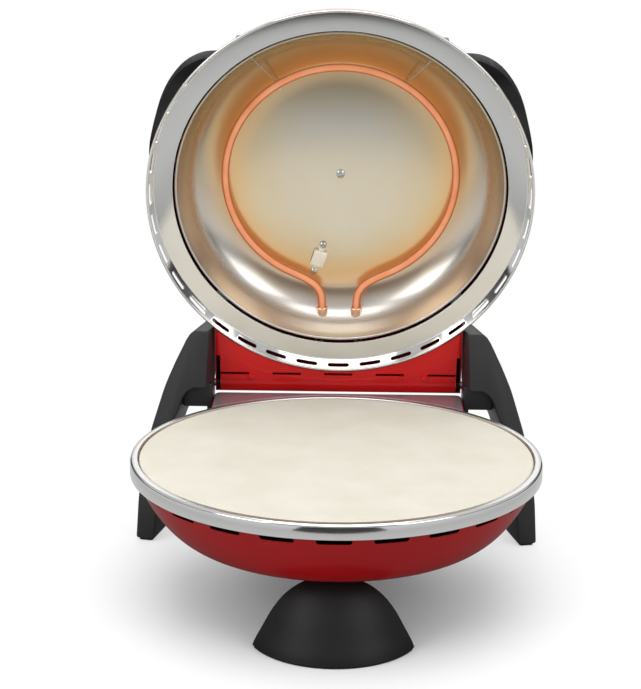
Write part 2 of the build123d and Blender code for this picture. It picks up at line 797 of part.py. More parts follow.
# reflector outline, rim to centre: radius, z
REFLECTOR = [
    (138.6, 134.4), (136.0, 145.5), (131.5, 156.5), (124.5, 166.0), (115.0, 172.6),
    (105.5, 176.5), (96, REFL_FLOOR_Z), (0, REFL_FLOOR_Z),
]
RIVETS = ((-14.6, 66.7), (-22.4, 91.8))     # x, y


def cut_rivet_holes():
    for centre in RIVETS:
        disc(LID, 170, 182, 1.65, centre=centre, mode=CUT)


def lid_reflector():
    """Upturned bowl inside the dome, with a beaded rim."""
    with BuildPart() as body:
        with BuildSketch(LID_XZ):
            sheet_face(REFLECTOR, -THIN_SHEET)
            with Locations((REFL_RIM_R + 0.1, REFL_RIM_Z + 0.2)):
                Circle(1.3)
        revolve(axis=LID_AXIS)
        cut_ferrule_holes(LID, UPPER_END_Z)
        disc(LID, 170, 182, 2.15, mode=CUT)
        cut_rivet_holes()
    return body.part


def reflector_straps():
    """Four bent straps between the ring's annulus and the reflector."""
    width = 12
    bottom, top = FOLD_Z + 1.0, FOLD_Z + 2.0
    with BuildPart() as body:
        for k in range(4):
            angle = radians(45 + 90 * k)
            across = (cos(angle), -sin(angle), 0)
            side = Plane(origin=(-width / 2 * across[0], -width / 2 * across[1], 0),
                         x_dir=(sin(angle), cos(angle), 0), z_dir=across)
            with BuildSketch(on(LID, side)):
                with BuildLine():
                    Polyline((152.4, bottom), (143, bottom), (143, 146.5), (137.2, 146.5),
                             (137.2, 147.5), (144, 147.5), (144, top), (152.4, top), close=True)
                make_face()
            extrude(amount=width)
    return body.part


def element_hooks():
    """Two wire hooks from the reflector over the upper element, near its front."""
    wire, bend = 0.8, 4.5           # wire radius, radius of the hook round the tube
    with BuildPart() as body:
        for side in SIDES:
            stations = [(134.8, 145.6)]     # radius, z
            for angle in (42, 75, 108, 141, 174):
                stations.append((ELEMENT_R + bend * cos(radians(angle)),
                                 UPPER_EL_Z + bend * sin(radians(angle))))
            points = [from_front(radius, side * 33.0, z) for radius, z in stations]
            for start, end in zip(points[:-1], points[1:]):
                rod(LID, start, end, wire)
            for joint in points[1:-1]:
                with Locations((LID * Location(joint)).position):
                    Sphere(wire)
    return body.part


# ---------------------------------------------------------------- temperature control
SENSOR_TURN = radians(17.3)
SENSOR_X, SENSOR_Y = -18.5, 79.2
SENSOR_DIR = (cos(SENSOR_TURN), sin(SENSOR_TURN), 0)
SCREW_CLEARANCE = 2.15


def on_sensor(distance, z):
    """Point along the sensor's axis, from its middle."""
    return (SENSOR_X + distance * SENSOR_DIR[0], SENSOR_Y + distance * SENSOR_DIR[1], z)


def sensor_clip():
    """Hat-shaped clip on the reflector's floor."""
    width = 11.6
    top = REFL_FLOOR_Z - 0.05
    end = Plane(origin=on_sensor(-width / 2, 0),
                x_dir=(-sin(SENSOR_TURN), cos(SENSOR_TURN), 0), z_dir=SENSOR_DIR)
    with BuildPart() as body:
        with BuildSketch(on(LID, end)):
            with BuildLine():
                Polyline((-15.5, top), (-6.6, top), (-6.6, top - 3.4), (6.6, top - 3.4),
                         (6.6, top), (15.5, top), (15.5, top - 0.7), (7.3, top - 0.7),
                         (7.3, top - 4.1), (-7.3, top - 4.1), (-7.3, top - 0.7),
                         (-15.5, top - 0.7), close=True)
            make_face()
        extrude(amount=width)
        cut_rivet_holes()
    return body.part


def clip_rivets():
    with BuildPart() as body:
        for centre in RIVETS:
            screw(LID, head=(175.0, 176.7, 3.0), shank=(176.7, 181.0, 1.6), centre=centre)
    return body.part


def sensor_bulb():
    with BuildPart() as body:
        rod(LID, on_sensor(-5.0, 175.55), on_sensor(5.0, 175.55), 1.4)
    return body.part


def thermostat_bracket():
    with BuildPart() as body:
        block(LID, (-24, -11, 178.35), (24, 11, 179.35))
        disc(LID, 175, 182, SCREW_CLEARANCE, mode=CUT)
    return body.part


def centre_screw():
    with BuildPart() as body:
        screw(LID, head=(175.3, 177.4, 3.7), shank=(177.4, 183.0, 2.0))
    return body.part


def thermostat():
    """Block with a screw hole from below and a spindle hole from above."""
    with BuildPart() as body:
        block(LID, (-17, -15, 179.4), (17, 15, 190.5))
        disc(LID, 179, 183.5, 2.2, mode=CUT)
        disc(LID, 186.0, 192, 3.15, mode=CUT)
    return body.part


def dial_plate():
    with BuildPart() as body:
        disc(LID, DOME_TOP + 0.05, DOME_TOP + 1.6, 31.0)
        disc(LID, DOME_TOP - 1, DOME_TOP + 3, 5.0, mode=CUT)
    return body.part


def indicator_lamp():
    with BuildPart() as body:
        disc(LID, DOME_TOP - 7, DOME_TOP + 0.1, 4.1, centre=(0, LAMP_Y))
        disc(LID, DOME_TOP + 0.1, DOME_TOP + 3.0, 5.6, centre=(0, LAMP_Y))
        fillet(body.faces().sort_by(LID_AXIS)[-1].edges(), 1.4)
    return body.part


KNOB_R, KNOB_H = 23.0, 19.0
KNOB_BOTTOM = DOME_TOP + 2.0
KNOB_SKIRT, KNOB_CONE = 7, 11       # heights of the round skirt's top and the cone's top


def knob():
    """Round skirt, short cone and a raised grip bar."""
    cone_top = on(LID, Plane(origin=(0, 0, KNOB_BOTTOM + KNOB_CONE)))
    with BuildPart() as body:
        disc(LID, KNOB_BOTTOM, KNOB_BOTTOM + KNOB_SKIRT, KNOB_R)
        with BuildSketch(on(LID, Plane(origin=(0, 0, KNOB_BOTTOM + KNOB_SKIRT)))):
            Circle(KNOB_R)
        with BuildSketch(cone_top):
            Circle(KNOB_R - 4)
        loft()
        with BuildSketch(cone_top):
            RectangleRounded(12, 2 * (KNOB_R - 4.5), 5)
        extrude(amount=KNOB_H - KNOB_CONE)
        fillet(body.faces().sort_by(LID_AXIS)[-1].edges(), 1.5)
        disc(LID, KNOB_BOTTOM - 1, KNOB_BOTTOM + 9, 3.05, mode=CUT)
    return body.part


def knob_spindle():
    with BuildPart() as body:
        disc(LID, 186.1, KNOB_BOTTOM + 8.9, 3.0)
    return body.part


# ---------------------------------------------------------------- lid panel and hinge plates
PANEL_SCREW_X, PANEL_SCREW_Y = (-75.5, 75.5), 168.6


def lid_panel():
    """Floor plate of the lid's rear housing, with five slots and two side notches."""
    half_width = LID_BOX_X - 1.2
    with BuildPart() as body:
        block(LID, (-half_width, 112, LID_BOX_Z),
              (half_width, LID_BOX_REAR - 1.2, LID_BOX_Z + 1.0))
        disc(LID, 115, 128, RING_R + 0.7, mode=CUT)
        for k in range(-2, 3):
            with BuildSketch(on(LID, Plane(origin=(k * VENT_PITCH, 165.3, 115)))):
                SlotOverall(VENT_LEN, 2.2)
            extrude(amount=20, mode=CUT)
        for side in SIDES:
            side_block(LID, side, (102.6, 107), (148, HINGE_Y + 8), (118, 124), CUT)
        for x in PANEL_SCREW_X:
            disc(LID, 110, 130, 1.6, centre=(x, PANEL_SCREW_Y), mode=CUT)
    return body.part


def panel_screws():
    seat = LID_BOX_Z - 0.05
    with BuildPart() as body:
        for x in PANEL_SCREW_X:
            screw(LID, head=(LID_BOX_Z - 1.3, seat, 2.9), shank=(seat, LID_BOX_Z + 8, 1.5),
                  centre=(x, PANEL_SCREW_Y))
    return body.part


def hinge_plates():
    """Upright plates on the hinge pins, inside the lid's rear housing."""
    middle, thickness = 104.4, 3.0
    with BuildPart() as body:
        for side in SIDES:
            plane = Plane(origin=(side * middle - thickness / 2, 0, 0),
                          x_dir=(0, 1, 0), z_dir=(1, 0, 0))
            with BuildSketch(on(LID, plane)):
                with Locations((HINGE_Y, HINGE_Z)):
                    Circle(4.75)
                with BuildLine():
                    Polyline((HINGE_Y - 4.7, HINGE_Z), (HINGE_Y + 4.7, HINGE_Z),
                             (HINGE_Y + 4.7, 136), (168, 150), (150, 150), (150, 138),
                             (HINGE_Y - 4.7, 132), close=True)
                make_face()
                with Locations((HINGE_Y, HINGE_Z)):
                    Circle(PIN_HOLE, mode=CUT)
            extrude(amount=thickness)
    return body.part


# ---------------------------------------------------------------- handle
# right half seen from above, lid side to front bar: x, y
HANDLE_OUT = [
    (160.6, -8), (161.2, -26), (159.8, -40), (154.8, -62),
    (146.0, -80), (133.5, -94.5), (118.5, -102.6), (104, -104.2),
]
HANDLE_IN = [
    (150.6, -8), (151.2, -24), (149.9, -38), (145.3, -57),
    (137.6, -73.5), (126.5, -86.5), (113.8, -93.0), (104, -94.2),
]
# side outline, rising towards the bar: y, z
HANDLE_SIDE = [
    (-125, 197), (-98, 197), (-78, 190), (-58, 174), (-46, 158), (-38, 151), (-5, 151),
    (-5, 169), (-22, 172), (-44, 186), (-66, 204), (-84, 213), (-94, 216), (-125, 216),
]


def handle():
    """Two cheeks sweeping forward from the lid's sides to a bar across the front."""
    left_out, left_in = mirrored(HANDLE_OUT), mirrored(HANDLE_IN)
    gap = 0.25                      # between handle and dome
    with BuildPart() as dome:
        with BuildSketch(LID_XZ):
            with BuildLine():
                points = offset_points(DOME, -gap)[:-1] + [(0, DOME_TOP + gap)]
                add(smooth(points))
                Polyline(points[-1], (0, 130), (points[0][0], 130), points[0])
            make_face()
        revolve(axis=LID_AXIS)
    with BuildPart() as body:
        with BuildSketch(on(LID, Plane(origin=(0, 0, 140)))):
            with BuildLine():
                Spline(*HANDLE_OUT)
                Spline(*HANDLE_IN)
                Line(HANDLE_OUT[0], HANDLE_IN[0])
                Line(HANDLE_OUT[-1], left_out[-1])
                Line(HANDLE_IN[-1], left_in[-1])
                Spline(*left_out)
                Spline(*left_in)
                Line(left_out[0], left_in[0])
            make_face()
        extrude(amount=80)
        with BuildSketch(LID_YZ):
            with BuildLine():
                Polyline(*HANDLE_SIDE, close=True)
            make_face()
        extrude(amount=200, both=True, mode=Mode.INTERSECT)
        add(dome.part, mode=CUT)
        for y in HANDLE_SCREW_Y:
            side_rods(LID, (140, 158), y, 160, PILOT_R, CUT)
    return body.part


def handle_trim():
    """Straight strip along the front of the bar."""
    with BuildPart() as body:
        with BuildSketch(on(LID, Plane(origin=(0, 0, 200)))):
            with BuildLine():
                Polyline((-92, -104.25), (-92, -112), (92, -112), (92, -104.25), close=True)
            make_face()
        extrude(amount=12)
    return body.part


def handle_screws():
    """Screws through the dome into the cheeks; the heads seat on a circle about y = 4.2."""
    with BuildPart() as body:
        for y in HANDLE_SCREW_Y:
            seat = (141.7 ** 2 - (y - 4.2) ** 2) ** 0.5
            side_rods(LID, (seat - 2.6, seat), y, 160, 4.0)
            side_rods(LID, (seat, 157.5), y, 160, SHANK_R)
    return body.part


# right wire, from the element's end to the thermostat: x, y, z
LID_WIRE = [
    (TERMINAL_X, 151.5, UPPER_END_Z), (16, 156, 166.0), (19, 157, 168), (20, 151, 170.0),
    (20.5, 132, 173.5), (22, 110, 180.4), (22, 80, 184.6), (21, 50, 186), (19.2, 10, 186),
]


def lid_wiring():
    with BuildPart() as body:
        cable(LID, mirrored(LID_WIRE))
        cable(LID, LID_WIRE)
    return body.part


# ---------------------------------------------------------------- export, one file per function
for build in (
    base_shell, base_ring, stone, base_tray, lower_element, lower_ferrules, lower_terminals,
    lower_clips, clip_screws, deck_plate, front_foot, front_foot_pad, foot_screws, left_leg,
    right_leg, leg_pads, leg_screws, hinge_pins, terminal_block, base_wiring, strain_relief,
    power_cord, plug, plug_pins, lid_shell, lid_ring, lid_reflector, reflector_straps,
    upper_element, upper_ferrules, upper_terminals, element_hooks, sensor_clip, clip_rivets,
    sensor_bulb, thermostat_bracket, centre_screw, thermostat, dial_plate, indicator_lamp,
    knob, knob_spindle, lid_panel, panel_screws, hinge_plates, handle, handle_trim,
    handle_screws, lid_wiring,
):
    part = build()
    part.label = build.__name__
    export_step(part, f"parts/{part.label}.step")
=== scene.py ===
"""Round tabletop stone oven with its lid swung open on the rear hinge.

Every piece is drawn in millimetres for the closed oven: the stone's axis is x = y = 0, the front
faces -y, the left side is -x and z is up from the floor. FRAMES carries the pieces of each moving
body into the scene, which is in metres.
"""

import json
from math import acos, atan2, cos, hypot, pi, radians, sin, tan

import bmesh
import bpy
from mathutils import Matrix, Vector


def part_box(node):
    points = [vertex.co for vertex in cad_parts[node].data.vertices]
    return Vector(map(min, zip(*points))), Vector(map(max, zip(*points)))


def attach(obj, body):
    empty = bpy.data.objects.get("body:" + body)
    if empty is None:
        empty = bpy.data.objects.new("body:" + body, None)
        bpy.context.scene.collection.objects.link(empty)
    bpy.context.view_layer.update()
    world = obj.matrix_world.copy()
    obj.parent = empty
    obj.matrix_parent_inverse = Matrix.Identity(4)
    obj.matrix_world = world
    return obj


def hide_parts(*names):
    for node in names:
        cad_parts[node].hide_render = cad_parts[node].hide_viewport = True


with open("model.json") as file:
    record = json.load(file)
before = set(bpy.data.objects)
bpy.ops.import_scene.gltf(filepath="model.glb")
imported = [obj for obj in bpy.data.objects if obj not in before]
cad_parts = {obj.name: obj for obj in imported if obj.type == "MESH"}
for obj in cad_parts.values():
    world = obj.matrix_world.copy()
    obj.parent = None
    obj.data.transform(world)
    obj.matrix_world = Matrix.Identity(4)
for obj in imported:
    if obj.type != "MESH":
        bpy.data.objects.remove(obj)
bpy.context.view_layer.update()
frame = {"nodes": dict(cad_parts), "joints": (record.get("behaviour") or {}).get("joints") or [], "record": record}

# ---------------------------------------------------------------- frames and shared dimensions
MM = 0.001
LID_OPEN = radians(78.0)

stone_low, stone_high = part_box("stone")
AXIS_Y = (stone_low.y + stone_high.y) / 2
HINGE = Vector(next(j for j in frame["joints"] if j["name"] == "lid_hinge")["pos_m"])
HINGE_Y, HINGE_Z = (HINGE.y - AXIS_Y) / MM, HINGE.z / MM

BASE_FRAME = Matrix.Translation((0, AXIS_Y, 0))
LID_FRAME = (Matrix.Translation(HINGE) @ Matrix.Rotation(-LID_OPEN, 4, "X")
             @ Matrix.Translation((0, -HINGE_Y * MM, -HINGE_Z * MM)))
FRAMES = {"base": BASE_FRAME, "lid": LID_FRAME, "knob": LID_FRAME}

SHELL_WALL = 1.0
BOWL_FLOOR = 55.0
BOWL_RIM = 107.4
DOME_RIM = 134.9
DOME_TOP = 193.2
REFLECTOR_TOP = 177.5
ELEMENT_RADIUS = 98.5       # of the loop's centreline
ELEMENT_TUBE = 3.25         # radius of the tube itself
UPPER_ELEMENT_Z = 168
TERMINAL_X = 15             # the element's ends lie this far each side of the middle
TERMINAL_Z = 165
KNOB_Z = 195.2
UP, DOWN, REARWARD = (0, 0, 1), (0, 0, -1), (0, 1, 0)


# ---------------------------------------------------------------- curves and outlines
def smooth_curve(points, steps=8):
    """Centripetal Catmull-Rom curve through points of any dimension."""
    pts = [Vector(p) for p in points]
    pts = [pts[0] * 2 - pts[1]] + pts + [pts[-1] * 2 - pts[-2]]
    out = []
    for p0, p1, p2, p3 in zip(pts, pts[1:], pts[2:], pts[3:]):
        d1 = max((p1 - p0).length, 1e-6) ** 0.5
        d2 = max((p2 - p1).length, 1e-6) ** 0.5
        d3 = max((p3 - p2).length, 1e-6) ** 0.5
        leave = ((p1 - p0) / d1 - (p2 - p0) / (d1 + d2) + (p2 - p1) / d2) * d2
        arrive = ((p2 - p1) / d2 - (p3 - p1) / (d2 + d3) + (p3 - p2) / d3) * d2
        for k in range(steps):
            t = k / steps
            out.append((2 * t**3 - 3 * t**2 + 1) * p1 + (t**3 - 2 * t**2 + t) * leave
                       + (-2 * t**3 + 3 * t**2) * p2 + (t**3 - t**2) * arrive)
    out.append(pts[-2])
    return [tuple(v) for v in out]


def offset(points, distance):
    """The 2D line moved to its left by distance."""
    out = []
    for i, (x, y) in enumerate(points):
        before, after = points[max(i - 1, 0)], points[min(i + 1, len(points) - 1)]
        dx, dy = after[0] - before[0], after[1] - before[1]
        length = max(hypot(dx, dy), 1e-9)
        out.append((x - dy / length * distance, y + dx / length * distance))
    return out


def fillet(points, radii, steps=5):
    """Rounds the corners of a closed polygon; radii is one number or one per corner."""
    out = []
    for i, point in enumerate(points):
        radius = radii[i] if isinstance(radii, list) else radii
        corner = Vector(point)
        if radius <= 0:
            out.append(tuple(corner))
            continue
        to_last = Vector(points[i - 1]) - corner
        to_next = Vector(points[(i + 1) % len(points)]) - corner
        last_length, next_length = to_last.length, to_next.length
        to_last.normalize()
        to_next.normalize()
        angle = acos(max(-1, min(1, to_last.dot(to_next))))
        if angle > pi - 0.05:
            out.append(tuple(corner))
            continue
        # the arc takes at most 48 % of either side, so neighbouring arcs never meet
        reach = min(radius / tan(angle / 2), last_length * 0.48, next_length * 0.48)
        fitted = reach * tan(angle / 2)
        centre = corner + (to_last + to_next).normalized() * (fitted / sin(angle / 2))
        start, end = corner + to_last * reach, corner + to_next * reach
        a0 = atan2(start.y - centre.y, start.x - centre.x)
        a1 = atan2(end.y - centre.y, end.x - centre.x)
        sweep = (a1 - a0 + pi) % (2 * pi) - pi
        for k in range(steps + 1):
            a = a0 + sweep * k / steps
            out.append((centre.x + fitted * cos(a), centre.y + fitted * sin(a)))
    return out


# ---------------------------------------------------------------- solids, as bmeshes
def lathe(profile, seg, face_slots=None):
    """Closed profile of (r, z) turned about the z axis; face_slots gives a material per side."""
    bm = bmesh.new()
    rings = []
    for r, z in profile:
        if r < 1e-6:
            rings.append([bm.verts.new((0, 0, z * MM))])
        else:
            rings.append([bm.verts.new((r * sin(2 * pi * k / seg) * MM,
                                        -r * cos(2 * pi * k / seg) * MM, z * MM))
                          for k in range(seg)])
    for i, a in enumerate(rings):
        b = rings[(i + 1) % len(rings)]
        if len(a) == 1 and len(b) == 1:
            continue
        for k in range(seg):
            k2 = (k + 1) % seg
            if len(a) == 1:
                face = bm.faces.new((a[0], b[k], b[k2]))
            elif len(b) == 1:
                face = bm.faces.new((a[k], b[0], a[k2]))
            else:
                face = bm.faces.new((a[k], b[k], b[k2], a[k2]))
            if face_slots:
                face.material_index = face_slots[i]
    return bm


def disc(radius, bottom, top, seg):
    return lathe([(0, bottom), (radius, bottom), (radius, top), (0, top)], seg)


def turned(profile, origin, axis, seg=40):
    """Profile of (r, height) turned about the axis that leaves origin."""
    bm = lathe(profile, seg)
    bmesh.ops.recalc_face_normals(bm, faces=bm.faces)
    turn = Vector(axis).normalized().to_track_quat("Z", "Y").to_matrix().to_4x4()
    bm.transform(Matrix.Translation(Vector(origin) * MM) @ turn)
    return bm


def rod(radius, length, origin, axis):
    return turned([(0, 0), (radius, 0), (radius, length), (0, length)], origin, axis)


def bevel_edges(bm, edges, width, seg):
    bmesh.ops.bevel(bm, geom=edges, offset=width * MM, segments=seg, profile=0.5,
                    affect="EDGES", clamp_overlap=True)


def prism(outline, to_xyz, depth, bevel=0.0, seg=3):
    """Outline swept over depth; to_xyz(u, v, t) places it and bevel rounds both caps."""
    bm = bmesh.new()
    a = [bm.verts.new([c * MM for c in to_xyz(u, v, 0.0)]) for u, v in outline]
    b = [bm.verts.new([c * MM for c in to_xyz(u, v, depth)]) for u, v in outline]
    cap_a, cap_b = bm.faces.new(a), bm.faces.new(b[::-1])
    n = len(outline)
    for i in range(n):
        bm.faces.new((a[i], b[i], b[(i + 1) % n], a[(i + 1) % n]))
    if bevel:
        bm.normal_update()
        bevel_edges(bm, list(set(list(cap_a.edges) + list(cap_b.edges))), bevel, seg)
    return bm


def upright(outline, z, height, bevel=0.0, seg=3):
    """Prism of an (x, y) outline rising from z."""
    return prism(outline, lambda x, y, t: (x, y, z + t), height, bevel, seg)


def crosswise(outline, half_width, bevel=0.0, seg=3):
    """Prism of a (y, z) outline running across x, centred."""
    return prism(outline, lambda y, z, t: (t - half_width, y, z), 2 * half_width, bevel, seg)


def box(corner, opposite, bevel=0.0, seg=2):
    low = [min(a, b) for a, b in zip(corner, opposite)]
    high = [max(a, b) for a, b in zip(corner, opposite)]
    bm = bmesh.new()
    bmesh.ops.create_cube(bm, size=1.0)
    for v in bm.verts:
        v.co = Vector(((low[i] + high[i]) / 2 + v.co[i] * (high[i] - low[i])) * MM
                      for i in range(3))
    if bevel:
        bevel_edges(bm, list(bm.edges), bevel, seg)
    return bm


def tube(path, radius, seg):
    """Round bar along 3D points, with flat ends."""
    bm = bmesh.new()
    pts = [Vector(p) for p in path]
    last = len(pts) - 1
    tangents = [(pts[min(i + 1, last)] - pts[max(i - 1, 0)]).normalized()
                for i in range(len(pts))]
    side = tangents[0].orthogonal().normalized()
    rings = []
    for i, (p, tangent) in enumerate(zip(pts, tangents)):
        if i:
            side = (side - tangent * side.dot(tangent)).normalized()
        other = tangent.cross(side)
        rings.append([bm.verts.new((p + (side * cos(2 * pi * k / seg)
                                         + other * sin(2 * pi * k / seg)) * radius) * MM)
                      for k in range(seg)])
    for a, b in zip(rings[:-1], rings[1:]):
        for k in range(seg):
            bm.faces.new((a[k], a[(k + 1) % seg], b[(k + 1) % seg], b[k]))
    bm.faces.new(rings[0][::-1])
    bm.faces.new(rings[-1])
    return bm


def joined(parts):
    """All parts in the first one's bmesh."""
    whole, *others = parts
    for part in others:
        mesh = bpy.data.meshes.new("tmp")
        part.to_mesh(mesh)
        part.free()
        whole.from_mesh(mesh)
        bpy.data.meshes.remove(mesh)
    return whole


def frame_at(point, x_dir, z_dir):
    z = Vector(z_dir).normalized()
    x = (Vector(x_dir) - z * Vector(x_dir).dot(z)).normalized()
    turn = Matrix((x, z.cross(x), z)).transposed().to_4x4()
    return Matrix.Translation(Vector(point) * MM) @ turn


def slot_tool(length, width, depth, where):
    """Cutter for a round-ended slot, centred on the frame where."""
    a, b = length / 2, width / 2
    outline = fillet([(-a, -b), (a, -b), (a, b), (-a, b)], width * 0.42, 6)
    bm = upright(outline, -depth / 2, depth)
    bm.transform(where)
    return bm


def five_slots(width, y, z):
    """Cutters for the row of five slots behind the ring."""
    length, pitch, depth = 25, 45, 8
    return [slot_tool(length, width, depth, frame_at((k * pitch, y, z), (1, 0, 0), UP))
            for k in range(-2, 3)]


def screw_head(centre, z, radius, height):
    """Pan head that hangs from z, its crown downwards."""
    crown = [(radius * 0.78 * sin(q), height * (0.62 + 0.38 * cos(q)))
             for q in [k * pi / 12 for k in range(1, 6)]]
    profile = [(0, height)] + crown + [(radius * 0.97, height * 0.45), (radius, height * 0.15),
                                       (radius, 0), (0, 0)]
    return turned(profile, (*centre, z), DOWN, 36)


# ---------------------------------------------------------------- objects
body_of = {}        # object name -> the moving body it belongs to
MATERIALS = {}      # material name -> material, filled by the Material class


def new_object(name, bm, looks, body, sharp=32.0, from_cad=False):
    """Object with the named material or materials.

    A CAD mesh already lies in the scene and keeps its normals.
    """
    if not from_cad:
        bmesh.ops.recalc_face_normals(bm, faces=bm.faces)
    mesh = bpy.data.meshes.new(name)
    bm.to_mesh(mesh)
    bm.free()
    for look in [looks] if isinstance(looks, str) else looks:
        mesh.materials.append(MATERIALS[look])
    mesh.shade_smooth()
    mesh.set_sharp_from_angle(angle=radians(sharp))
    if not from_cad:
        mesh.transform(FRAMES[body])
    obj = bpy.data.objects.new(name, mesh)
    bpy.context.scene.collection.objects.link(obj)
    body_of[name] = body
    return obj


def cut(obj, tool_bm, operation="DIFFERENCE"):
    """Exact boolean with a tool drawn like the piece; the result is baked."""
    bmesh.ops.recalc_face_normals(tool_bm, faces=tool_bm.faces)
    tool_bm.transform(FRAMES[body_of[obj.name]])
    tool_mesh = bpy.data.meshes.new("tool")
    tool_bm.to_mesh(tool_mesh)
    tool_bm.free()
    tool = bpy.data.objects.new("tool", tool_mesh)
    bpy.context.scene.collection.objects.link(tool)
    modifier = obj.modifiers.new("b", "BOOLEAN")
    modifier.operation, modifier.solver, modifier.object = operation, "EXACT", tool
    bpy.context.view_layer.update()
    depsgraph = bpy.context.evaluated_depsgraph_get()
    baked = bpy.data.meshes.new_from_object(obj.evaluated_get(depsgraph), depsgraph=depsgraph)
    obj.modifiers.clear()
    mats = list(obj.data.materials)
    obj.data = baked
    baked.materials.clear()
    for material in mats:
        baked.materials.append(material)
    bpy.data.objects.remove(tool)
    bpy.data.meshes.remove(tool_mesh)
    baked.shade_smooth()
    baked.set_sharp_from_angle(angle=radians(30))


def cut_cross(obj, centre, z, half_length, half_width, depth, turn):
    """Cross recess in a screw head, turned by turn degrees."""
    a, b = half_length, half_width
    for q in (turn, turn + 90):
        bar = upright([(-a, -b), (a, -b), (a, b), (-a, b)], -depth / 2, depth)
        bar.transform(frame_at((*centre, z), (cos(radians(q)), sin(radians(q)), 0), UP))
        cut(obj, bar)


def weld(obj):
    bm = bmesh.new()
    bm.from_mesh(obj.data)
    bmesh.ops.remove_doubles(bm, verts=bm.verts, dist=1e-6)
    bm.to_mesh(obj.data)
    bm.free()


def place(obj):
    """Registers a finished piece; one called <node>_fine replaces that CAD node."""
    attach(obj, body_of[obj.name])
    node = obj.name.removesuffix("_fine")
    if node != obj.name:
        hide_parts(node)


def soften_cad_node(node, look, width):
    """Welded and cleaned copy of a CAD node with its edges rounded by width."""
    bm = bmesh.new()
    bm.from_mesh(frame["nodes"][node].data)
    bmesh.ops.remove_doubles(bm, verts=bm.verts, dist=4e-6)
    bmesh.ops.dissolve_limit(bm, angle_limit=radians(1.0), verts=bm.verts, edges=bm.edges,
                             delimit=set())
    bm.normal_update()
    bevel_edges(bm, folded_edges(bm, 30), width, 2)
    record = frame["record"]
    body = next(b for b, nodes in record["behaviour"]["bodies"].items() if node in nodes)
    place(new_object(node + "_fine", bm, look, body, sharp=35, from_cad=True))


def folded_edges(bm, degrees):
    """Edges where two faces meet at more than the given angle."""
    return [e for e in bm.edges
            if len(e.link_faces) == 2 and e.calc_face_angle(0) > radians(degrees)]


# ---------------------------------------------------------------- material tools
def srgb(*rgb):
    """Linear RGBA of an 8-bit sRGB tone."""
    scaled = [c / 255 for c in rgb]
    return (*[c / 12.92 if c <= 0.04045 else ((c + 0.055) / 1.055) ** 2.4 for c in scaled], 1.0)


def set_stops(color_ramp, stops):
    """Stops are (position, colour); a plain number is a grey."""
    elements = color_ramp.elements
    while len(elements) < len(stops):
        elements.new(0.5)
    for i, (position, tone) in enumerate(stops):
        elements[i].position = position
        elements[i].color = tone if isinstance(tone, tuple) else (tone, tone, tone, 1)


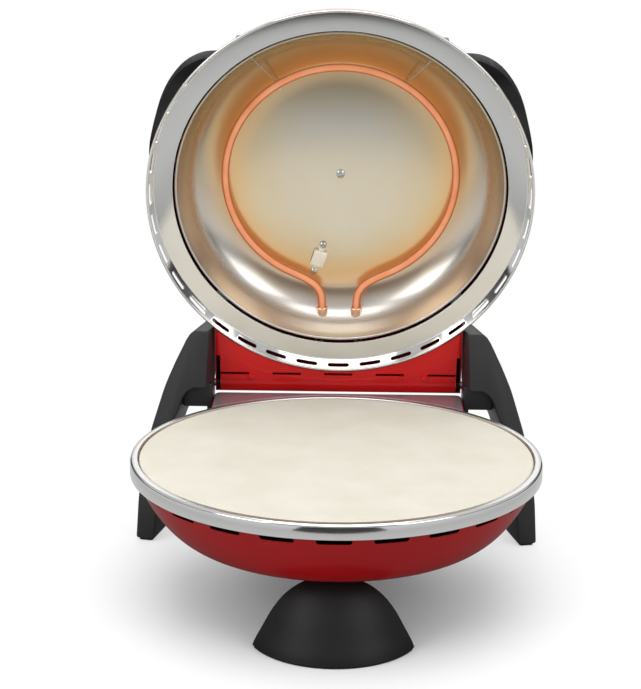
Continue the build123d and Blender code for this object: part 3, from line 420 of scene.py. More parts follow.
class Material:
    """Principled material whose texture coordinates are the closed oven's, in metres."""
    INPUTS = {"color": "Base Color", "metal": "Metallic", "rough": "Roughness",
              "coat": "Coat Weight", "coat_rough": "Coat Roughness",
              "spec": "Specular IOR Level", "ior": "IOR", "trans": "Transmission Weight",
              "sheen": "Sheen Weight", "emit": "Emission Strength",
              "emit_color": "Emission Color"}

    def __init__(self, name, lid=False):
        self.material = MATERIALS[name] = bpy.data.materials.new(name)
        self.material.use_nodes = True
        self.tree = self.material.node_tree
        self.shader = self.tree.nodes["Principled BSDF"]
        to_closed = (LID_FRAME if lid else BASE_FRAME).inverted()
        mapping = self.node("Mapping")
        mapping.inputs["Location"].default_value = to_closed.translation
        mapping.inputs["Rotation"].default_value = to_closed.to_euler("XYZ")
        self.feed(self.node("TexCoord").outputs["Object"], mapping.inputs["Vector"])
        self.coords = mapping.outputs["Vector"]

    def node(self, kind, **settings):
        node = self.tree.nodes.new("ShaderNode" + kind)
        for key, value in settings.items():
            setattr(node, key, value)
        return node

    def feed(self, value, socket):
        """Links an output, or sets a plain value."""
        if isinstance(value, bpy.types.NodeSocket):
            self.tree.links.new(value, socket)
        else:
            socket.default_value = value

    def put(self, **values):
        for key, value in values.items():
            self.feed(value, self.shader.inputs[self.INPUTS[key]])

    def texture(self, kind, scale, **settings):
        node = self.node("Tex" + kind, **settings)
        node.inputs["Scale"].default_value = scale
        self.feed(self.coords, node.inputs["Vector"])
        return node

    def noise(self, scale, detail, rough=0.5, vector=None):
        node = self.texture("Noise", scale)
        node.inputs["Detail"].default_value = detail
        node.inputs["Roughness"].default_value = rough
        if vector:
            self.feed(vector, node.inputs["Vector"])
        return node.outputs["Fac"]

    def math(self, operation, *values):
        node = self.node("Math", operation=operation)
        for value, socket in zip(values, node.inputs):
            self.feed(value, socket)
        return node.outputs[0]

    def add(self, a, b):
        return self.math("ADD", a, b)

    def times(self, a, b):
        return self.math("MULTIPLY", a, b)

    def ramp(self, fac, stops, interpolation="LINEAR"):
        node = self.node("ValToRGB")
        node.color_ramp.interpolation = interpolation
        set_stops(node.color_ramp, stops)
        self.feed(fac, node.inputs["Fac"])
        return node.outputs["Color"]

    def span(self, value, source, to=(0.0, 1.0), smooth=False):
        """Maps the source range onto the range to."""
        node = self.node("MapRange")
        if smooth:
            node.interpolation_type = "SMOOTHSTEP"
        limits = zip(("From Min", "From Max", "To Min", "To Max"), (*source, *to))
        for key, limit in limits:
            node.inputs[key].default_value = limit
        self.feed(value, node.inputs["Value"])
        return node.outputs["Result"]

    def mottle(self, scale, detail, to=(0.0, 1.0)):
        """Noise whose middle range is stretched onto the range to."""
        return self.span(self.noise(scale, detail), (0.3, 0.7), to)

    def mix(self, fac, a, b):
        node = self.node("Mix", data_type="RGBA", blend_type="MIX")
        for key, kind, value in (("Factor", "VALUE", fac), ("A", "RGBA", a), ("B", "RGBA", b)):
            socket = [s for s in node.inputs if s.name == key and s.type == kind][0]
            self.feed(value, socket)
        return [s for s in node.outputs if s.type == "RGBA"][0]

    def ray(self, kind):
        return self.node("LightPath").outputs[f"Is {kind} Ray"]

    def bump(self, height, strength, distance):
        """Adds a bump (distance in metres) on top of any before it."""
        node = self.node("Bump")
        node.inputs["Strength"].default_value = strength
        node.inputs["Distance"].default_value = distance
        self.feed(height, node.inputs["Height"])
        normal = self.shader.inputs["Normal"]
        if normal.links:
            self.feed(normal.links[0].from_socket, node.inputs["Normal"])
        self.feed(node.outputs["Normal"], normal)

    def polar(self):
        """Radius from the oven's axis, then x, y and z."""
        node = self.node("SeparateXYZ")
        self.feed(self.coords, node.inputs[0])
        x, y, z = node.outputs
        return self.math("SQRT", self.add(self.times(x, x), self.times(y, y))), x, y, z

    def circular_grain(self, across=2500.0, along=6.0):
        """Fine noise drawn out round the oven's axis."""
        radius, x, y, z = self.polar()
        angle = self.math("ARCTAN2", x, y)
        node = self.node("CombineXYZ")
        scaled = (self.times(radius, across), self.times(angle, along), self.times(z, across))
        for value, socket in zip(scaled, node.inputs):
            self.feed(value, socket)
        return self.noise(scale=1.0, detail=3.0, rough=0.6, vector=node.outputs[0])


# ---------------------------------------------------------------- materials
def enamel(name, tones, patch_scale, rough, coat, coat_rough, lid=False):
    """Gloss red enamel; diffuse rays see grey, so it casts no red on its neighbours."""
    m = Material(name, lid)
    patches = m.span(m.noise(scale=patch_scale, detail=2), (0.35, 0.65))
    red = m.mix(patches, srgb(*tones[0]), srgb(*tones[1]))
    m.put(color=m.mix(m.ray("Diffuse"), red, (0.10, 0.095, 0.095, 1)), rough=rough, coat=coat,
          coat_rough=m.mottle(scale=40, detail=3, to=coat_rough), spec=0.2)
    m.bump(m.noise(scale=420, detail=2), strength=0.035, distance=0.0002)


def steel(name, tone, rough, grain, bump, smudge, lid=False):
    """Turned steel; grain and smudge add to the least roughness rough."""
    m = Material(name, lid)
    lines = m.circular_grain()
    darker = [c * 0.9 for c in tone]
    shade = m.times(m.noise(scale=14, detail=3), 0.5)
    smudges = m.times(m.noise(scale=30, detail=4), smudge)
    m.put(metal=1.0, color=m.mix(shade, srgb(*tone), srgb(*darker)),
          rough=m.add(m.add(rough, m.times(lines, grain)), smudges))
    m.bump(lines, strength=bump, distance=0.0001)


def deck_steel():
    """Steel lightly brushed across the oven, tinted pinkish grey as a painted reflection of the red panel above
    it.
    """
    m = Material("deck_steel")
    stretch = m.node("Mapping")
    stretch.inputs["Scale"].default_value = (1.0, 90.0, 20.0)
    m.feed(m.coords, stretch.inputs[0])
    lines = m.noise(scale=60, detail=3, rough=0.6, vector=stretch.outputs[0])
    # the pinkish grey tone is a painted reflection of the red panel above the strip
    m.put(metal=0.72, color=m.mix(lines, srgb(196, 184, 192), srgb(176, 166, 174)),
          rough=m.add(0.22, m.times(lines, 0.16)))
    m.bump(lines, strength=0.05, distance=0.0001)


def reflector_steel():
    """Bright steel with golden bands that follow the element, more golden at the front than by the hinge."""
    m = Material("reflector_steel", lid=True)
    radius, _, y, z = m.polar()
    waver = m.times(m.math("SUBTRACT", m.noise(scale=22, detail=3), 0.5), 0.012)
    wavy_radius = m.add(radius, waver)
    from_element = m.math("ABSOLUTE", m.math("SUBTRACT", wavy_radius, 0.1))
    front = m.span(y, (-0.12, 0.10), to=(1.0, 0.0), smooth=True)    # 1 in front, 0 by the hinge
    bands = (0.05, 0.14)                                            # radii the tints spread over
    golden = m.ramp(m.span(wavy_radius, bands), [
        (0.0, srgb(214, 210, 200)), (0.26, srgb(218, 206, 180)), (0.44, srgb(232, 206, 164)),
        (0.58, srgb(220, 194, 146)), (0.74, srgb(200, 182, 142)), (0.9, srgb(190, 180, 152)),
        (1.0, srgb(196, 190, 172))])
    pale = m.ramp(m.span(wavy_radius, bands), [
        (0.0, srgb(226, 222, 212)), (0.28, srgb(226, 214, 190)), (0.46, srgb(226, 194, 150)),
        (0.62, srgb(212, 194, 168)), (0.80, srgb(204, 200, 194)), (1.0, srgb(208, 208, 208))])
    stain = m.span(m.noise(scale=6, detail=4), (0.42, 0.7), to=(0.0, 0.28))
    color = m.mix(stain, m.mix(front, pale, golden), srgb(214, 178, 122))
    lines = m.circular_grain(across=1600, along=5)
    m.put(metal=0.95, color=color,
          rough=m.add(m.span(wavy_radius, (0.08, 0.135), to=(0.17, 0.27)), m.times(lines, 0.03)))
    # painted light of the hot element on the steel next to it, fading out below it
    painted_glow = m.ramp(m.span(from_element, (0.0, 0.024)), [(0.0, 1.0), (0.35, 0.42), (1.0, 0.0)],
                  "EASE")
    height = m.span(z, (0.150, 0.172))
    m.put(emit_color=srgb(255, 160, 88), emit=m.times(m.times(painted_glow, height), 0.09))
    m.bump(lines, strength=0.02, distance=0.0001)
    m.bump(m.noise(scale=12, detail=2), strength=0.015, distance=0.002)


def element_sheath():
    """Hot element: pale in the middle of the tube, with painted shade turning it dark orange at its outline."""
    m = Material("element_sheath")
    facing = m.node("LayerWeight")
    facing.inputs["Blend"].default_value = 0.45
    patches = m.span(m.noise(scale=60, detail=5), (0.35, 0.7))
    core = m.mix(patches, srgb(238, 166, 120), srgb(226, 144, 98))
    # painted shade: the tube darkens towards its outline with the viewing angle
    rim = m.span(facing.outputs["Facing"], (0.08, 0.52), smooth=True)
    heat = m.mix(rim, core, srgb(150, 62, 20))
    # reflections of the element see a paler tone, a painted reflection colour
    heat = m.mix(m.ray("Glossy"), heat, srgb(226, 176, 122))
    m.put(color=m.mix(0.5, heat, srgb(170, 92, 56)), emit_color=heat, emit=0.33, spec=0.4,
          rough=m.mottle(scale=300, detail=4, to=(0.38, 0.6)))
    m.bump(m.noise(scale=1500, detail=4), strength=0.15, distance=0.0002)


def fired_stone():
    """Ivory ceramic with fine pores."""
    m = Material("fired_stone")
    grit = m.noise(scale=1300, detail=6, rough=0.7)
    clouds = m.span(m.noise(scale=24, detail=5, rough=0.6), (0.3, 0.7))
    pores = m.span(m.texture("Voronoi", scale=620).outputs["Distance"], (0.05, 0.26))
    color = m.mix(clouds, srgb(216, 212, 201), srgb(208, 203, 189))
    color = m.mix(m.span(grit, (0.58, 0.78), to=(0.0, 0.45)), color, srgb(206, 192, 164))
    color = m.mix(m.span(pores, (0.0, 1.0), to=(0.30, 0.0)), color, srgb(190, 176, 150))
    m.put(color=color, rough=0.86, spec=0.25)
    m.bump(grit, strength=0.35, distance=0.0003)
    m.bump(pores, strength=0.28, distance=0.0003)


def plastic(name, tone, rough, grain=2600, bump=0.22, spec=0.42):
    """Grained plastic or rubber."""
    m = Material(name)
    cells = m.texture("Voronoi", scale=grain * 0.55)
    fine = m.noise(scale=grain, detail=3)
    lighter = [c * 1.14 for c in tone]
    m.put(color=m.mix(m.mottle(scale=18, detail=4), srgb(*tone), srgb(*lighter)),
          rough=m.add(rough - 0.03, m.times(fine, 0.12)), spec=spec)
    m.bump(m.add(cells.outputs["Distance"], m.times(fine, 0.6)), bump, distance=0.00022)


def wire_sleeve():
    """Braided sleeve of two crossing waves."""
    m = Material("wire_sleeve")
    diagonal = m.texture("Wave", scale=700, bands_direction="DIAGONAL")
    level = m.texture("Wave", scale=900, bands_direction="Z")
    braid = m.times(diagonal.outputs["Fac"], level.outputs["Fac"])
    m.put(color=m.mix(braid, srgb(176, 168, 148), srgb(228, 222, 206)), rough=0.85, sheen=0.3)
    m.bump(braid, strength=0.5, distance=0.0003)


def lamp_amber():
    m = Material("lamp_amber")
    tint = m.mix(m.noise(scale=90, detail=3), srgb(255, 120, 20), srgb(240, 92, 12))
    m.put(color=tint, rough=0.12, trans=0.55, ior=1.49, coat=0.6, emit_color=srgb(255, 96, 16),
          emit=0.25)
    m.bump(m.node("TexMagic").outputs["Fac"], strength=0.02, distance=0.0002)


# Each noise below is (scale, detail); rough is a range over its noise, or one value without it.
def simple(name, tones, tone_noise, rough, bump_noise, bump, rough_noise=None, distance=0.0002,
           **fixed):
    m = Material(name)
    m.put(color=m.mix(m.noise(*tone_noise), srgb(*tones[0]), srgb(*tones[1])),
          rough=m.mottle(*rough_noise, to=rough) if rough_noise else rough, **fixed)
    m.bump(m.noise(*bump_noise), bump, distance)


def make_materials():
    # one red enamel in two tones: the darker is painted shade for the bowl and the dome, the lighter is painted
    # light for the panel under the lid's housing
    enamel("red_paint", tones=((152, 7, 12), (142, 6, 11)), patch_scale=9, rough=0.30, coat=0.5,
           coat_rough=(0.02, 0.06))
    enamel("red_panel", tones=((204, 18, 17), (192, 15, 15)), patch_scale=11, rough=0.34,
           coat=0.3, coat_rough=(0.04, 0.09), lid=True)
    for suffix, lid in (("", False), ("_lid", True)):
        steel("polished_steel" + suffix, tone=(229, 229, 228), rough=0.055, grain=0.03,
              bump=0.02, smudge=0.04, lid=lid)
        steel("satin_steel" + suffix, tone=(212, 212, 210), rough=0.20, grain=0.14,
              bump=0.12, smudge=0.06, lid=lid)
    deck_steel()
    reflector_steel()
    element_sheath()
    simple("element_cold", tones=((92, 74, 62), (58, 52, 50)), tone_noise=(80, 5),
           rough=(0.35, 0.6), rough_noise=(300, 4), bump_noise=(1500, 4), bump=0.2, metal=0.6)
    simple("bush_steel", tones=((246, 214, 186), (226, 168, 128)), tone_noise=(160, 4),
           rough=(0.18, 0.36), rough_noise=(400, 4), bump_noise=(900, 3), bump=0.08, metal=0.85)
    fired_stone()
    plastic("black_plastic", tone=(31, 31, 33), rough=0.45)
    # the foot's plastic is darker than black_plastic as painted shade under the bowl, and has its own coarser
    # grain
    plastic("black_plastic_foot", tone=(19, 19, 20), rough=0.44, grain=2200, bump=0.3, spec=0.32)
    plastic("black_plastic_handle", tone=(9, 9, 9), rough=0.5, spec=0.16)
    plastic("grey_trim", tone=(74, 74, 75), rough=0.40, grain=3000, bump=0.1)
    plastic("rubber_black", tone=(24, 24, 25), rough=0.68, grain=1700, bump=0.35)
    simple("screw_steel", tones=((214, 214, 214), (184, 184, 186)), tone_noise=(200, 3),
           rough=(0.16, 0.32), rough_noise=(600, 4), bump_noise=(2500, 3), bump=0.08,
           distance=0.0001, metal=1.0)
    simple("brass_contact", tones=((222, 190, 120), (186, 150, 84)), tone_noise=(120, 4),
           rough=(0.2, 0.38), rough_noise=(500, 4), bump_noise=(1500, 3), bump=0.1,
           distance=0.0001, metal=1.0)
    wire_sleeve()
    simple("moulded_white", tones=((230, 226, 214), (218, 212, 198)), tone_noise=(30, 4),
           rough=(0.3, 0.45), rough_noise=(500, 3), bump_noise=(1800, 3), bump=0.08, spec=0.45)
    lamp_amber()
    steel("dial_steel", tone=(214, 214, 214), rough=0.28, grain=0.2, bump=0.25, smudge=0.05,
          lid=True)
    simple("dial_print", tones=((24, 24, 26), (40, 40, 42)), tone_noise=(400, 3), rough=0.5,
           bump_noise=(2000, 3), bump=0.05, distance=0.0001)
    simple("clip_steel", tones=((250, 246, 236), (230, 222, 204)), tone_noise=(120, 3),
           rough=(0.3, 0.45), rough_noise=(300, 3), bump_noise=(1200, 3), bump=0.1, metal=0.55)
    simple("pointer_white", tones=((232, 232, 230), (214, 214, 212)), tone_noise=(300, 3),
           rough=0.45, bump_noise=(1500, 3), bump=0.05, distance=0.0001)


# ---------------------------------------------------------------- base
# (r, z) of the bowl's outside, from its flat floor up to the rim
BOWL = [(84, 55.0), (97, 55.35), (108, 56.6), (122, 61.0), (134, 70.0), (145, 83.5),
        (152.5, 96.5), (157.5, BOWL_RIM)]

# (r, z) of the front foot's dome, about its own axis
FOOT = [(67.4, 2.0), (65.6, 7.0), (61.1, 16.7), (54.4, 31.0), (48.75, 40.5), (43.5, 47.2),
        (38.25, 52.3), (31.0, 58.0), (24.0, 62.5)]

# (x, z, corner radius) of a rear leg seen from the front, right side
LEG = [(157.6, 2, 1.2), (172.8, 2, 2.0), (171.2, 39, 120), (162.0, 90.8, 160),
       (149.0, 132, 160), (140.3, 151.8, 60), (131.0, 170.8, 8), (127.4, 176.4, 5),
       (122.5, 178.9, 5), (111.2, 179.2, 2.0), (113.3, 131.6, 2.0), (123.6, 131.2, 6),
       (130.0, 127.2, 8), (134.0, 121.2, 10), (137.4, 110.3, 30), (143.4, 98.9, 60),
       (150.6, 70, 120), (154.8, 30, 80), (156.2, 16, 60)]


def bowl_profile(inset=0.0):
    points = [(0, BOWL_FLOOR), (60, BOWL_FLOOR)] + smooth_curve(BOWL)
    if inset:
        points = offset(points, inset)
        points[0] = (0, BOWL_FLOOR + inset)
        points[-1] = (points[-1][0], 109.0)     # open above the rim
    return points


def base_housing(inset=0.0):
    """Rear housing of the base, drawn in from its faces by inset."""
    front, bottom, rear, top = 60, 72 + inset, 167.4 - inset, 119.2 - inset
    outline = fillet([(front, bottom), (153.4, bottom), (rear, 88), (rear, top), (front, top)],
                     [0, 8, 10, 1 if inset else 2.0, 0], 6)
    return crosswise(outline, 108.0 - inset, bevel=1.6 if inset else 2.4, seg=4)


def base_shell():
    obj = new_object("base_shell_fine", lathe(bowl_profile() + [(0, BOWL_RIM)], 240),
                     "red_paint", "base")
    cut(obj, base_housing(), "UNION")
    cut(obj, lathe(bowl_profile(SHELL_WALL) + [(0, 109.0)], 240))
    cut(obj, base_housing(SHELL_WALL))
    # the housing's roof stops at the ring; the deck strip covers the rest
    cut(obj, disc(162.6, 107.45, 125, 240))
    slot_pitch, slot_radius, slot_z = 15.4, 152, 105.2
    tools = []
    for k in range(-7, 8):
        a = radians(slot_pitch * k)
        point = (slot_radius * sin(a), -slot_radius * cos(a), slot_z)
        where = frame_at(point, (cos(a), sin(a), 0), (sin(a), -cos(a), 0))
        tools.append(slot_tool(26, 5.0, 18, where))
    roof_opening = box((-98, 112, 117), (98, 160, 121.5))
    cut(obj, joined(tools + [roof_opening]))
    weld(obj)
    place(obj)


def base_ring():
    """Rolled trim ring: polished band with a satin top."""
    profile = fillet([(162.0, 108.2), (162.0, 118.6), (160.6, 119.95), (158.6, 120.2),
                      (156.2, 120.2), (155.6, 119.4), (155.6, 114.0), (156.5, 114.0),
                      (156.5, 118.9), (160.4, 118.6), (161.0, 117.8), (161.0, 108.2)],
                     [0.4, 1.6, 1.2, 0.5, 0.5, 0.3, 0, 0, 0.5, 0.5, 0.5, 0.3], 5)
    satin = [1 if z > 119.3 and r < 160.7 else 0 for r, z in profile]
    obj = new_object("base_ring_fine", lathe(profile, 360, satin),
                     ["polished_steel", "satin_steel"], "base", sharp=50)
    place(obj)


def stone():
    radius, bottom, top = 155, 109.3, 119.6
    profile = fillet([(0, bottom), (radius, bottom), (radius, top), (0, top)],
                     [0, 1.2, 1.8, 0], 6)
    obj = new_object("stone_fine", lathe(profile, 300), "fired_stone", "base", sharp=40)
    place(obj)


def deck_plate():
    """Flat strip behind the stone, with five slots."""
    half_width, front, rear = 106.5, 121, 167.0
    outline = fillet([(-half_width, front), (-half_width, rear), (half_width, rear),
                      (half_width, front)], [0, 5, 5, 0], 6)
    obj = new_object("deck_plate_fine", upright(outline, 119.25, 1.0, bevel=0.3, seg=2),
                     "deck_steel", "base")
    cut(obj, disc(162.5, 115, 125, 300))
    cut(obj, joined(five_slots(width=2.6, y=161.5, z=119.7)))
    place(obj)


def bowl_clearance():
    """The bowl's outside grown a little, filled to above its rim."""
    grown = [(r + 0.1, z - 0.15) for r, z in bowl_profile()[1:]]
    return lathe([(0, 54.8)] + grown + [(158, 130), (0, 130)], 200)


def front_foot():
    """Domed foot, cut off flat behind with a soft edge round the cut."""
    axis_y, cut_y = -74.5 * MM, -103 * MM
    bm = lathe([(0, 2.0), (66.6, 2.0)] + smooth_curve(FOOT, 7) + [(0, 62.5)], 240)
    bmesh.ops.transform(bm, matrix=Matrix.Translation((0, axis_y, 0)), verts=bm.verts)
    result = bmesh.ops.bisect_plane(bm, geom=bm.verts[:] + bm.edges[:] + bm.faces[:],
                                    plane_co=(0, cut_y, 0), plane_no=REARWARD, clear_outer=True)
    bmesh.ops.holes_fill(bm, edges=[e for e in result["geom_cut"]
                                    if isinstance(e, bmesh.types.BMEdge)])
    bm.normal_update()
    rim = [e for e in folded_edges(bm, 40) if all(abs(v.co.y - cut_y) < 1e-5 for v in e.verts)]
    bevel_edges(bm, rim, 1.6, 4)
    obj = new_object("front_foot_fine", bm, "black_plastic_foot", "base", sharp=50)
    cut(obj, bowl_clearance())
    cut(obj, box((-21, -104, 44), (21, -79, 56)), "UNION")
    cut(obj, bowl_clearance())
    place(obj)


def leg(side, node):
    """Rear leg leaning back and turned outwards, with two blocks on its inner side."""
    turn = radians(13.0)
    lean = 0.25

    def to_xyz(x, z, t):
        y = 119.0 + lean * z + (x - 172.0) * tan(turn)
        return side * (x - sin(turn) * t), y + cos(turn) * t, z

    outline = fillet([(x, z) for x, z, _ in LEG], [radius for _, _, radius in LEG], 6)
    bm = prism(outline, to_xyz, 46.0, bevel=1.3, seg=4)
    bmesh.ops.bisect_plane(bm, geom=bm.verts[:] + bm.edges[:] + bm.faces[:],
                           plane_co=(side * 108.1 * MM, 0, 0), plane_no=(-side, 0, 0),
                           clear_outer=True)
    bmesh.ops.holes_fill(bm, edges=[e for e in bm.edges if len(e.link_faces) == 1])
    bm = joined([bm,
                 box((side * 108.2, 148, 112.5), (side * 133.5, 183, 133.0), 1.5, 3),
                 box((side * 108.2, 150, 78), (side * 113, 165, 114), 1.0, 2)])
    place(new_object(node + "_fine", bm, "black_plastic", "base", sharp=42))


# ---------------------------------------------------------------- lid shell, ring and reflector
# (r, z) of the dome's outside, from the rim up to the flat top
DOME = [(158.0, DOME_RIM), (157.0, 141.0), (153.6, 150.5), (148.0, 160.0), (139.5, 169.5),
        (127.5, 178.5), (111.0, 186.2), (90.0, 191.0), (66.0, DOME_TOP)]

# (r, z) of the reflector's inside, from its flat top down to the rim
REFLECTOR = [(96, REFLECTOR_TOP), (105.5, 176.5), (115.0, 172.6), (124.5, 166.0),
             (131.5, 156.5), (136.0, 145.5), (137.9, 138.4)]


def dome_profile(inset=0.0):
    points = smooth_curve(DOME, 7) + [(55, DOME_TOP), (0, DOME_TOP)]
    if inset:
        points = offset(points, inset)
        points[-1] = (0, DOME_TOP - inset)
        points[0] = (points[0][0], 133.0)       # open below the rim
    return points


def lid_housing(inset=0.0):
    """Rear housing of the lid, drawn in from its faces by inset."""
    front, rear = 48, 183.0 - inset
    bottom = 118.0 if inset else 121.6
    outline = fillet([(front, bottom), (rear, bottom), (rear, 155),
                      (171 - inset * 0.4, 168 - inset * 0.9), (146, 176 - inset),
                      (front, 184 - inset)],
                     [0, 0 if inset else 1.6, 12, 9, 30, 0], 7)
    bm = crosswise(outline, 107.0 - inset)
    bm.normal_update()
    roof = []
    for edge in bm.edges:
        a, b = edge.verts[0].co, edge.verts[1].co
        if (abs(a.x - b.x) < 1e-6 and min(a.z, b.z) > 148 * MM
                and min(a.y, b.y) > 47.9 * MM and max(a.y, b.y) < rear * MM + 1e-6):
            roof.append(edge)
    bevel_edges(bm, roof, 12.0 - inset, 7)
    bm.normal_update()
    return bm


def lid_shell():
    obj = new_object("lid_shell_fine", lathe(dome_profile() + [(0, DOME_RIM)], 240),
                     "red_paint", "lid")
    cut(obj, lid_housing(), "UNION")
    cut(obj, lathe(dome_profile(SHELL_WALL) + [(0, 133.0)], 240))
    cut(obj, lid_housing(SHELL_WALL))
    # clears the ring's room and the hole in the top
    cut(obj, joined([disc(162.6, 110, 134.85, 240), rod(5, 20, (0, 0, 184), UP)]))
    weld(obj)
    place(obj)


def lid_ring():
    """Satin annulus, fold and polished slotted skirt, then the skirt's rolled edge."""
    fold = fillet([(160.8, 124.4), (157.9, 134.1), (157.3, 134.45), (140.75, 134.45),
                   (140.75, 133.65), (156.9, 133.65), (159.9, 123.9)],
                  [0, 0.7, 0.7, 0.3, 0.3, 0.6, 0], 4)
    profile = [(161.6, 121.9)] + fold + [(160.7, 121.9)]
    low = [133.5 < z < 133.9 for _, z in profile]
    satin = [1 if a and b else 0 for a, b in zip(low, low[1:] + low[:1])]
    obj = new_object("lid_ring_fine", lathe(profile, 360, satin),
                     ["polished_steel_lid", "satin_steel_lid"], "lid", sharp=40)
    slot_count, slot_radius, slot_z = 36, 159.1, 127.2
    tools = []
    for k in range(slot_count):
        a = radians(360 // slot_count * k)
        point = (slot_radius * sin(a), slot_radius * cos(a), slot_z)
        square_to_skirt = (0.957 * sin(a), 0.957 * cos(a), 0.29)
        tools.append(slot_tool(18.5, 4.6, 6, frame_at(point, (cos(a), -sin(a), 0),
                                                      square_to_skirt)))
    cut(obj, joined(tools))
    place(obj)

    bead = [(160.9 + 1.1 * cos(q), 121.7 + 1.1 * sin(q))
            for q in [2 * pi * k / 16 for k in range(16)]]
    edge = new_object("lid_ring_edge", lathe(bead, 360), "polished_steel_lid", "lid", sharp=80)
    place(edge)


def lid_reflector():
    """Dish with a rolled rim and two holes for the element's ends."""
    thickness = 0.8
    inner = [(r, REFLECTOR_TOP) for r in (0, 30, 60, 80)] + smooth_curve(REFLECTOR)
    outer = offset(inner, thickness)
    outer[0] = (0, 178.3)
    roll_r, roll_z, roll = 138.4, 137.4, 1.3
    rim = [(roll_r + roll * cos(q), roll_z + roll * sin(q))
           for q in [radians(118 + k * 17) for k in range(17)]]
    profile = inner[:-1] + rim + outer[::-1][1:]
    obj = new_object("lid_reflector_fine", lathe(profile, 256), "reflector_steel", "lid",
                     sharp=60)
    cut(obj, joined([rod(5.05, 24, (s * TERMINAL_X, 112, TERMINAL_Z), REARWARD)
                     for s in (-1, 1)]))
    place(obj)


# ---------------------------------------------------------------- elements and lid fittings
def element_path(z, end_z, end_y):
    """Loop open at the rear, where both ends bend together and run back."""
    start = 24.0        # half the opening, in degrees
    angles = [radians(start + k * (360 - 2 * start) / 150) for k in range(151)]
    loop = [(ELEMENT_RADIUS * sin(a), ELEMENT_RADIUS * cos(a), z) for a in angles]
    rise = end_z - z
    bend = [loop[0], (29.0, 95.6, z + rise * 0.1), (20.6, 101.6, z + rise * 0.35),
            (16.2, 108.6, z + rise * 0.7), (TERMINAL_X, 116.5, end_z), (TERMINAL_X, 122, end_z)]
    right = smooth_curve(bend)
    left = [(-x, y, height) for x, y, height in right]
    return ([(TERMINAL_X, end_y, end_z)] + right[::-1] + loop[1:-1] + left
            + [(-TERMINAL_X, end_y, end_z)])


def elements():
    upper = tube(element_path(UPPER_ELEMENT_Z, TERMINAL_Z, 140), ELEMENT_TUBE, 24)
    place(new_object("upper_element_fine", upper, "element_sheath", "lid", sharp=60))
    lower = tube(element_path(93, 95, 138), ELEMENT_TUBE, 20)
    place(new_object("lower_element_fine", lower, "element_cold", "base", sharp=60))


def upper_ferrules():
    """Turned bushes round the upper element's ends."""
    profile = fillet([(3.4, 0), (4.3, 0), (5.0, 1.0), (5.0, 14.5), (3.4, 14.5), (3.4, 6.0),
                      (4.0, 2.0)], [0.3, 0.6, 0.6, 0.3, 0.2, 0.4, 0.3], 4)
    bm = joined([turned(profile, (s * TERMINAL_X, 120.5, TERMINAL_Z), REARWARD)
                 for s in (-1, 1)])
    place(new_object("upper_ferrules_fine", bm, "bush_steel", "lid", sharp=40))


def element_hooks():
    """Bent wires from the reflector's rim to the front of the element."""
    a = radians(33.0)
    loop = 4.5
    path = [(134.8, 145.6), (118, 158.5)]      # (r, z)
    path += [(ELEMENT_RADIUS + loop * cos(radians(q)), UPPER_ELEMENT_Z + loop * sin(radians(q)))
             for q in (42, 75, 108, 141, 174)]
    wires = [tube(smooth_curve([(s * sin(a) * r, -cos(a) * r, z) for r, z in path], 6), 0.8, 12)
             for s in (-1, 1)]
    obj = new_object("element_hooks_fine", joined(wires), "screw_steel", "lid", sharp=60)
    place(obj)


def sensor_clip():
    """Bent strip under the reflector's top, with a screwed tab at each end."""
    turn = radians(17.3)
    centre = (-18.5, 79.2)
    top, width = 177.45, 11.6

    def on_clip(along, across, z):
        return (centre[0] - sin(turn) * along + cos(turn) * across,
                centre[1] + cos(turn) * along + sin(turn) * across, z)

    section = fillet([(-7.3, top), (-6.6, top), (-6.6, top - 3.4), (6.6, top - 3.4), (6.6, top),
                      (7.3, top), (7.3, top - 4.1), (-7.3, top - 4.1)],
                     [0.1, 0.1, 0.4, 0.4, 0.1, 0.1, 1.0, 1.0], 4)
    parts = [prism(section, lambda x, z, t: on_clip(x, t - width / 2, z), width,
                   bevel=0.2, seg=2)]
    for s in (-1, 1):
        tab = fillet([(s * 6.9, -2.6), (s * 15.5, -2.6), (s * 15.5, 2.6), (s * 6.9, 2.6)], 2.0)
        parts.append(prism(tab, lambda x, y, t: on_clip(x, y, top - 0.7 + t), 0.65,
                           bevel=0.15, seg=2))
    obj = new_object("sensor_clip_fine", joined(parts), "clip_steel", "lid", sharp=35)
    place(obj)


def reflector_screws():
    """Screw in the middle of the reflector and one in each tab of the clip."""
    screw = new_object("centre_screw_fine", screw_head((0, 0), 177.4, 3.7, 2.1), "screw_steel",
                       "lid", sharp=40)
    cut_cross(screw, (0, 0), z=175.2, half_length=2.3, half_width=0.45, depth=1.8, turn=25)
    place(screw)

    centres = ((-14.6, 66.7), (-22.4, 91.8))
    rivets = new_object("clip_rivets_fine",
                        joined([screw_head(centre, 176.7, 3.0, 1.7) for centre in centres]),
                        "screw_steel", "lid", sharp=40)
    for centre in centres:
        cut_cross(rivets, centre, z=175.0, half_length=1.8, half_width=0.35, depth=1.6, turn=10)
    place(rivets)


def lid_panel():
    """Red panel under the lid's rear housing: five slots, two notches and two screws."""
    half_width, front, rear, bottom = 105.8, 112, 181.8, 121.6
    outline = fillet([(-half_width, front), (-half_width, rear), (half_width, rear),
                      (half_width, front)], [0, 3.5, 3.5, 0])
    panel = new_object("lid_panel_fine", upright(outline, bottom, 1.0, bevel=0.3, seg=2),
                       "red_panel", "lid")
    cut(panel, disc(162.7, 115, 128, 300))
    notches = [box((s * 102.6, 148, 118), (s * 107.5, HINGE_Y + 8, 124.5)) for s in (-1, 1)]
    cut(panel, joined(five_slots(width=2.3, y=165.3, z=122) + notches))
    place(panel)

    heads = joined([screw_head((x, 168.6), 121.55, 2.9, 1.25) for x in (-75.5, 75.5)])
    place(new_object("panel_screws_fine", heads, "red_panel", "lid", sharp=40))


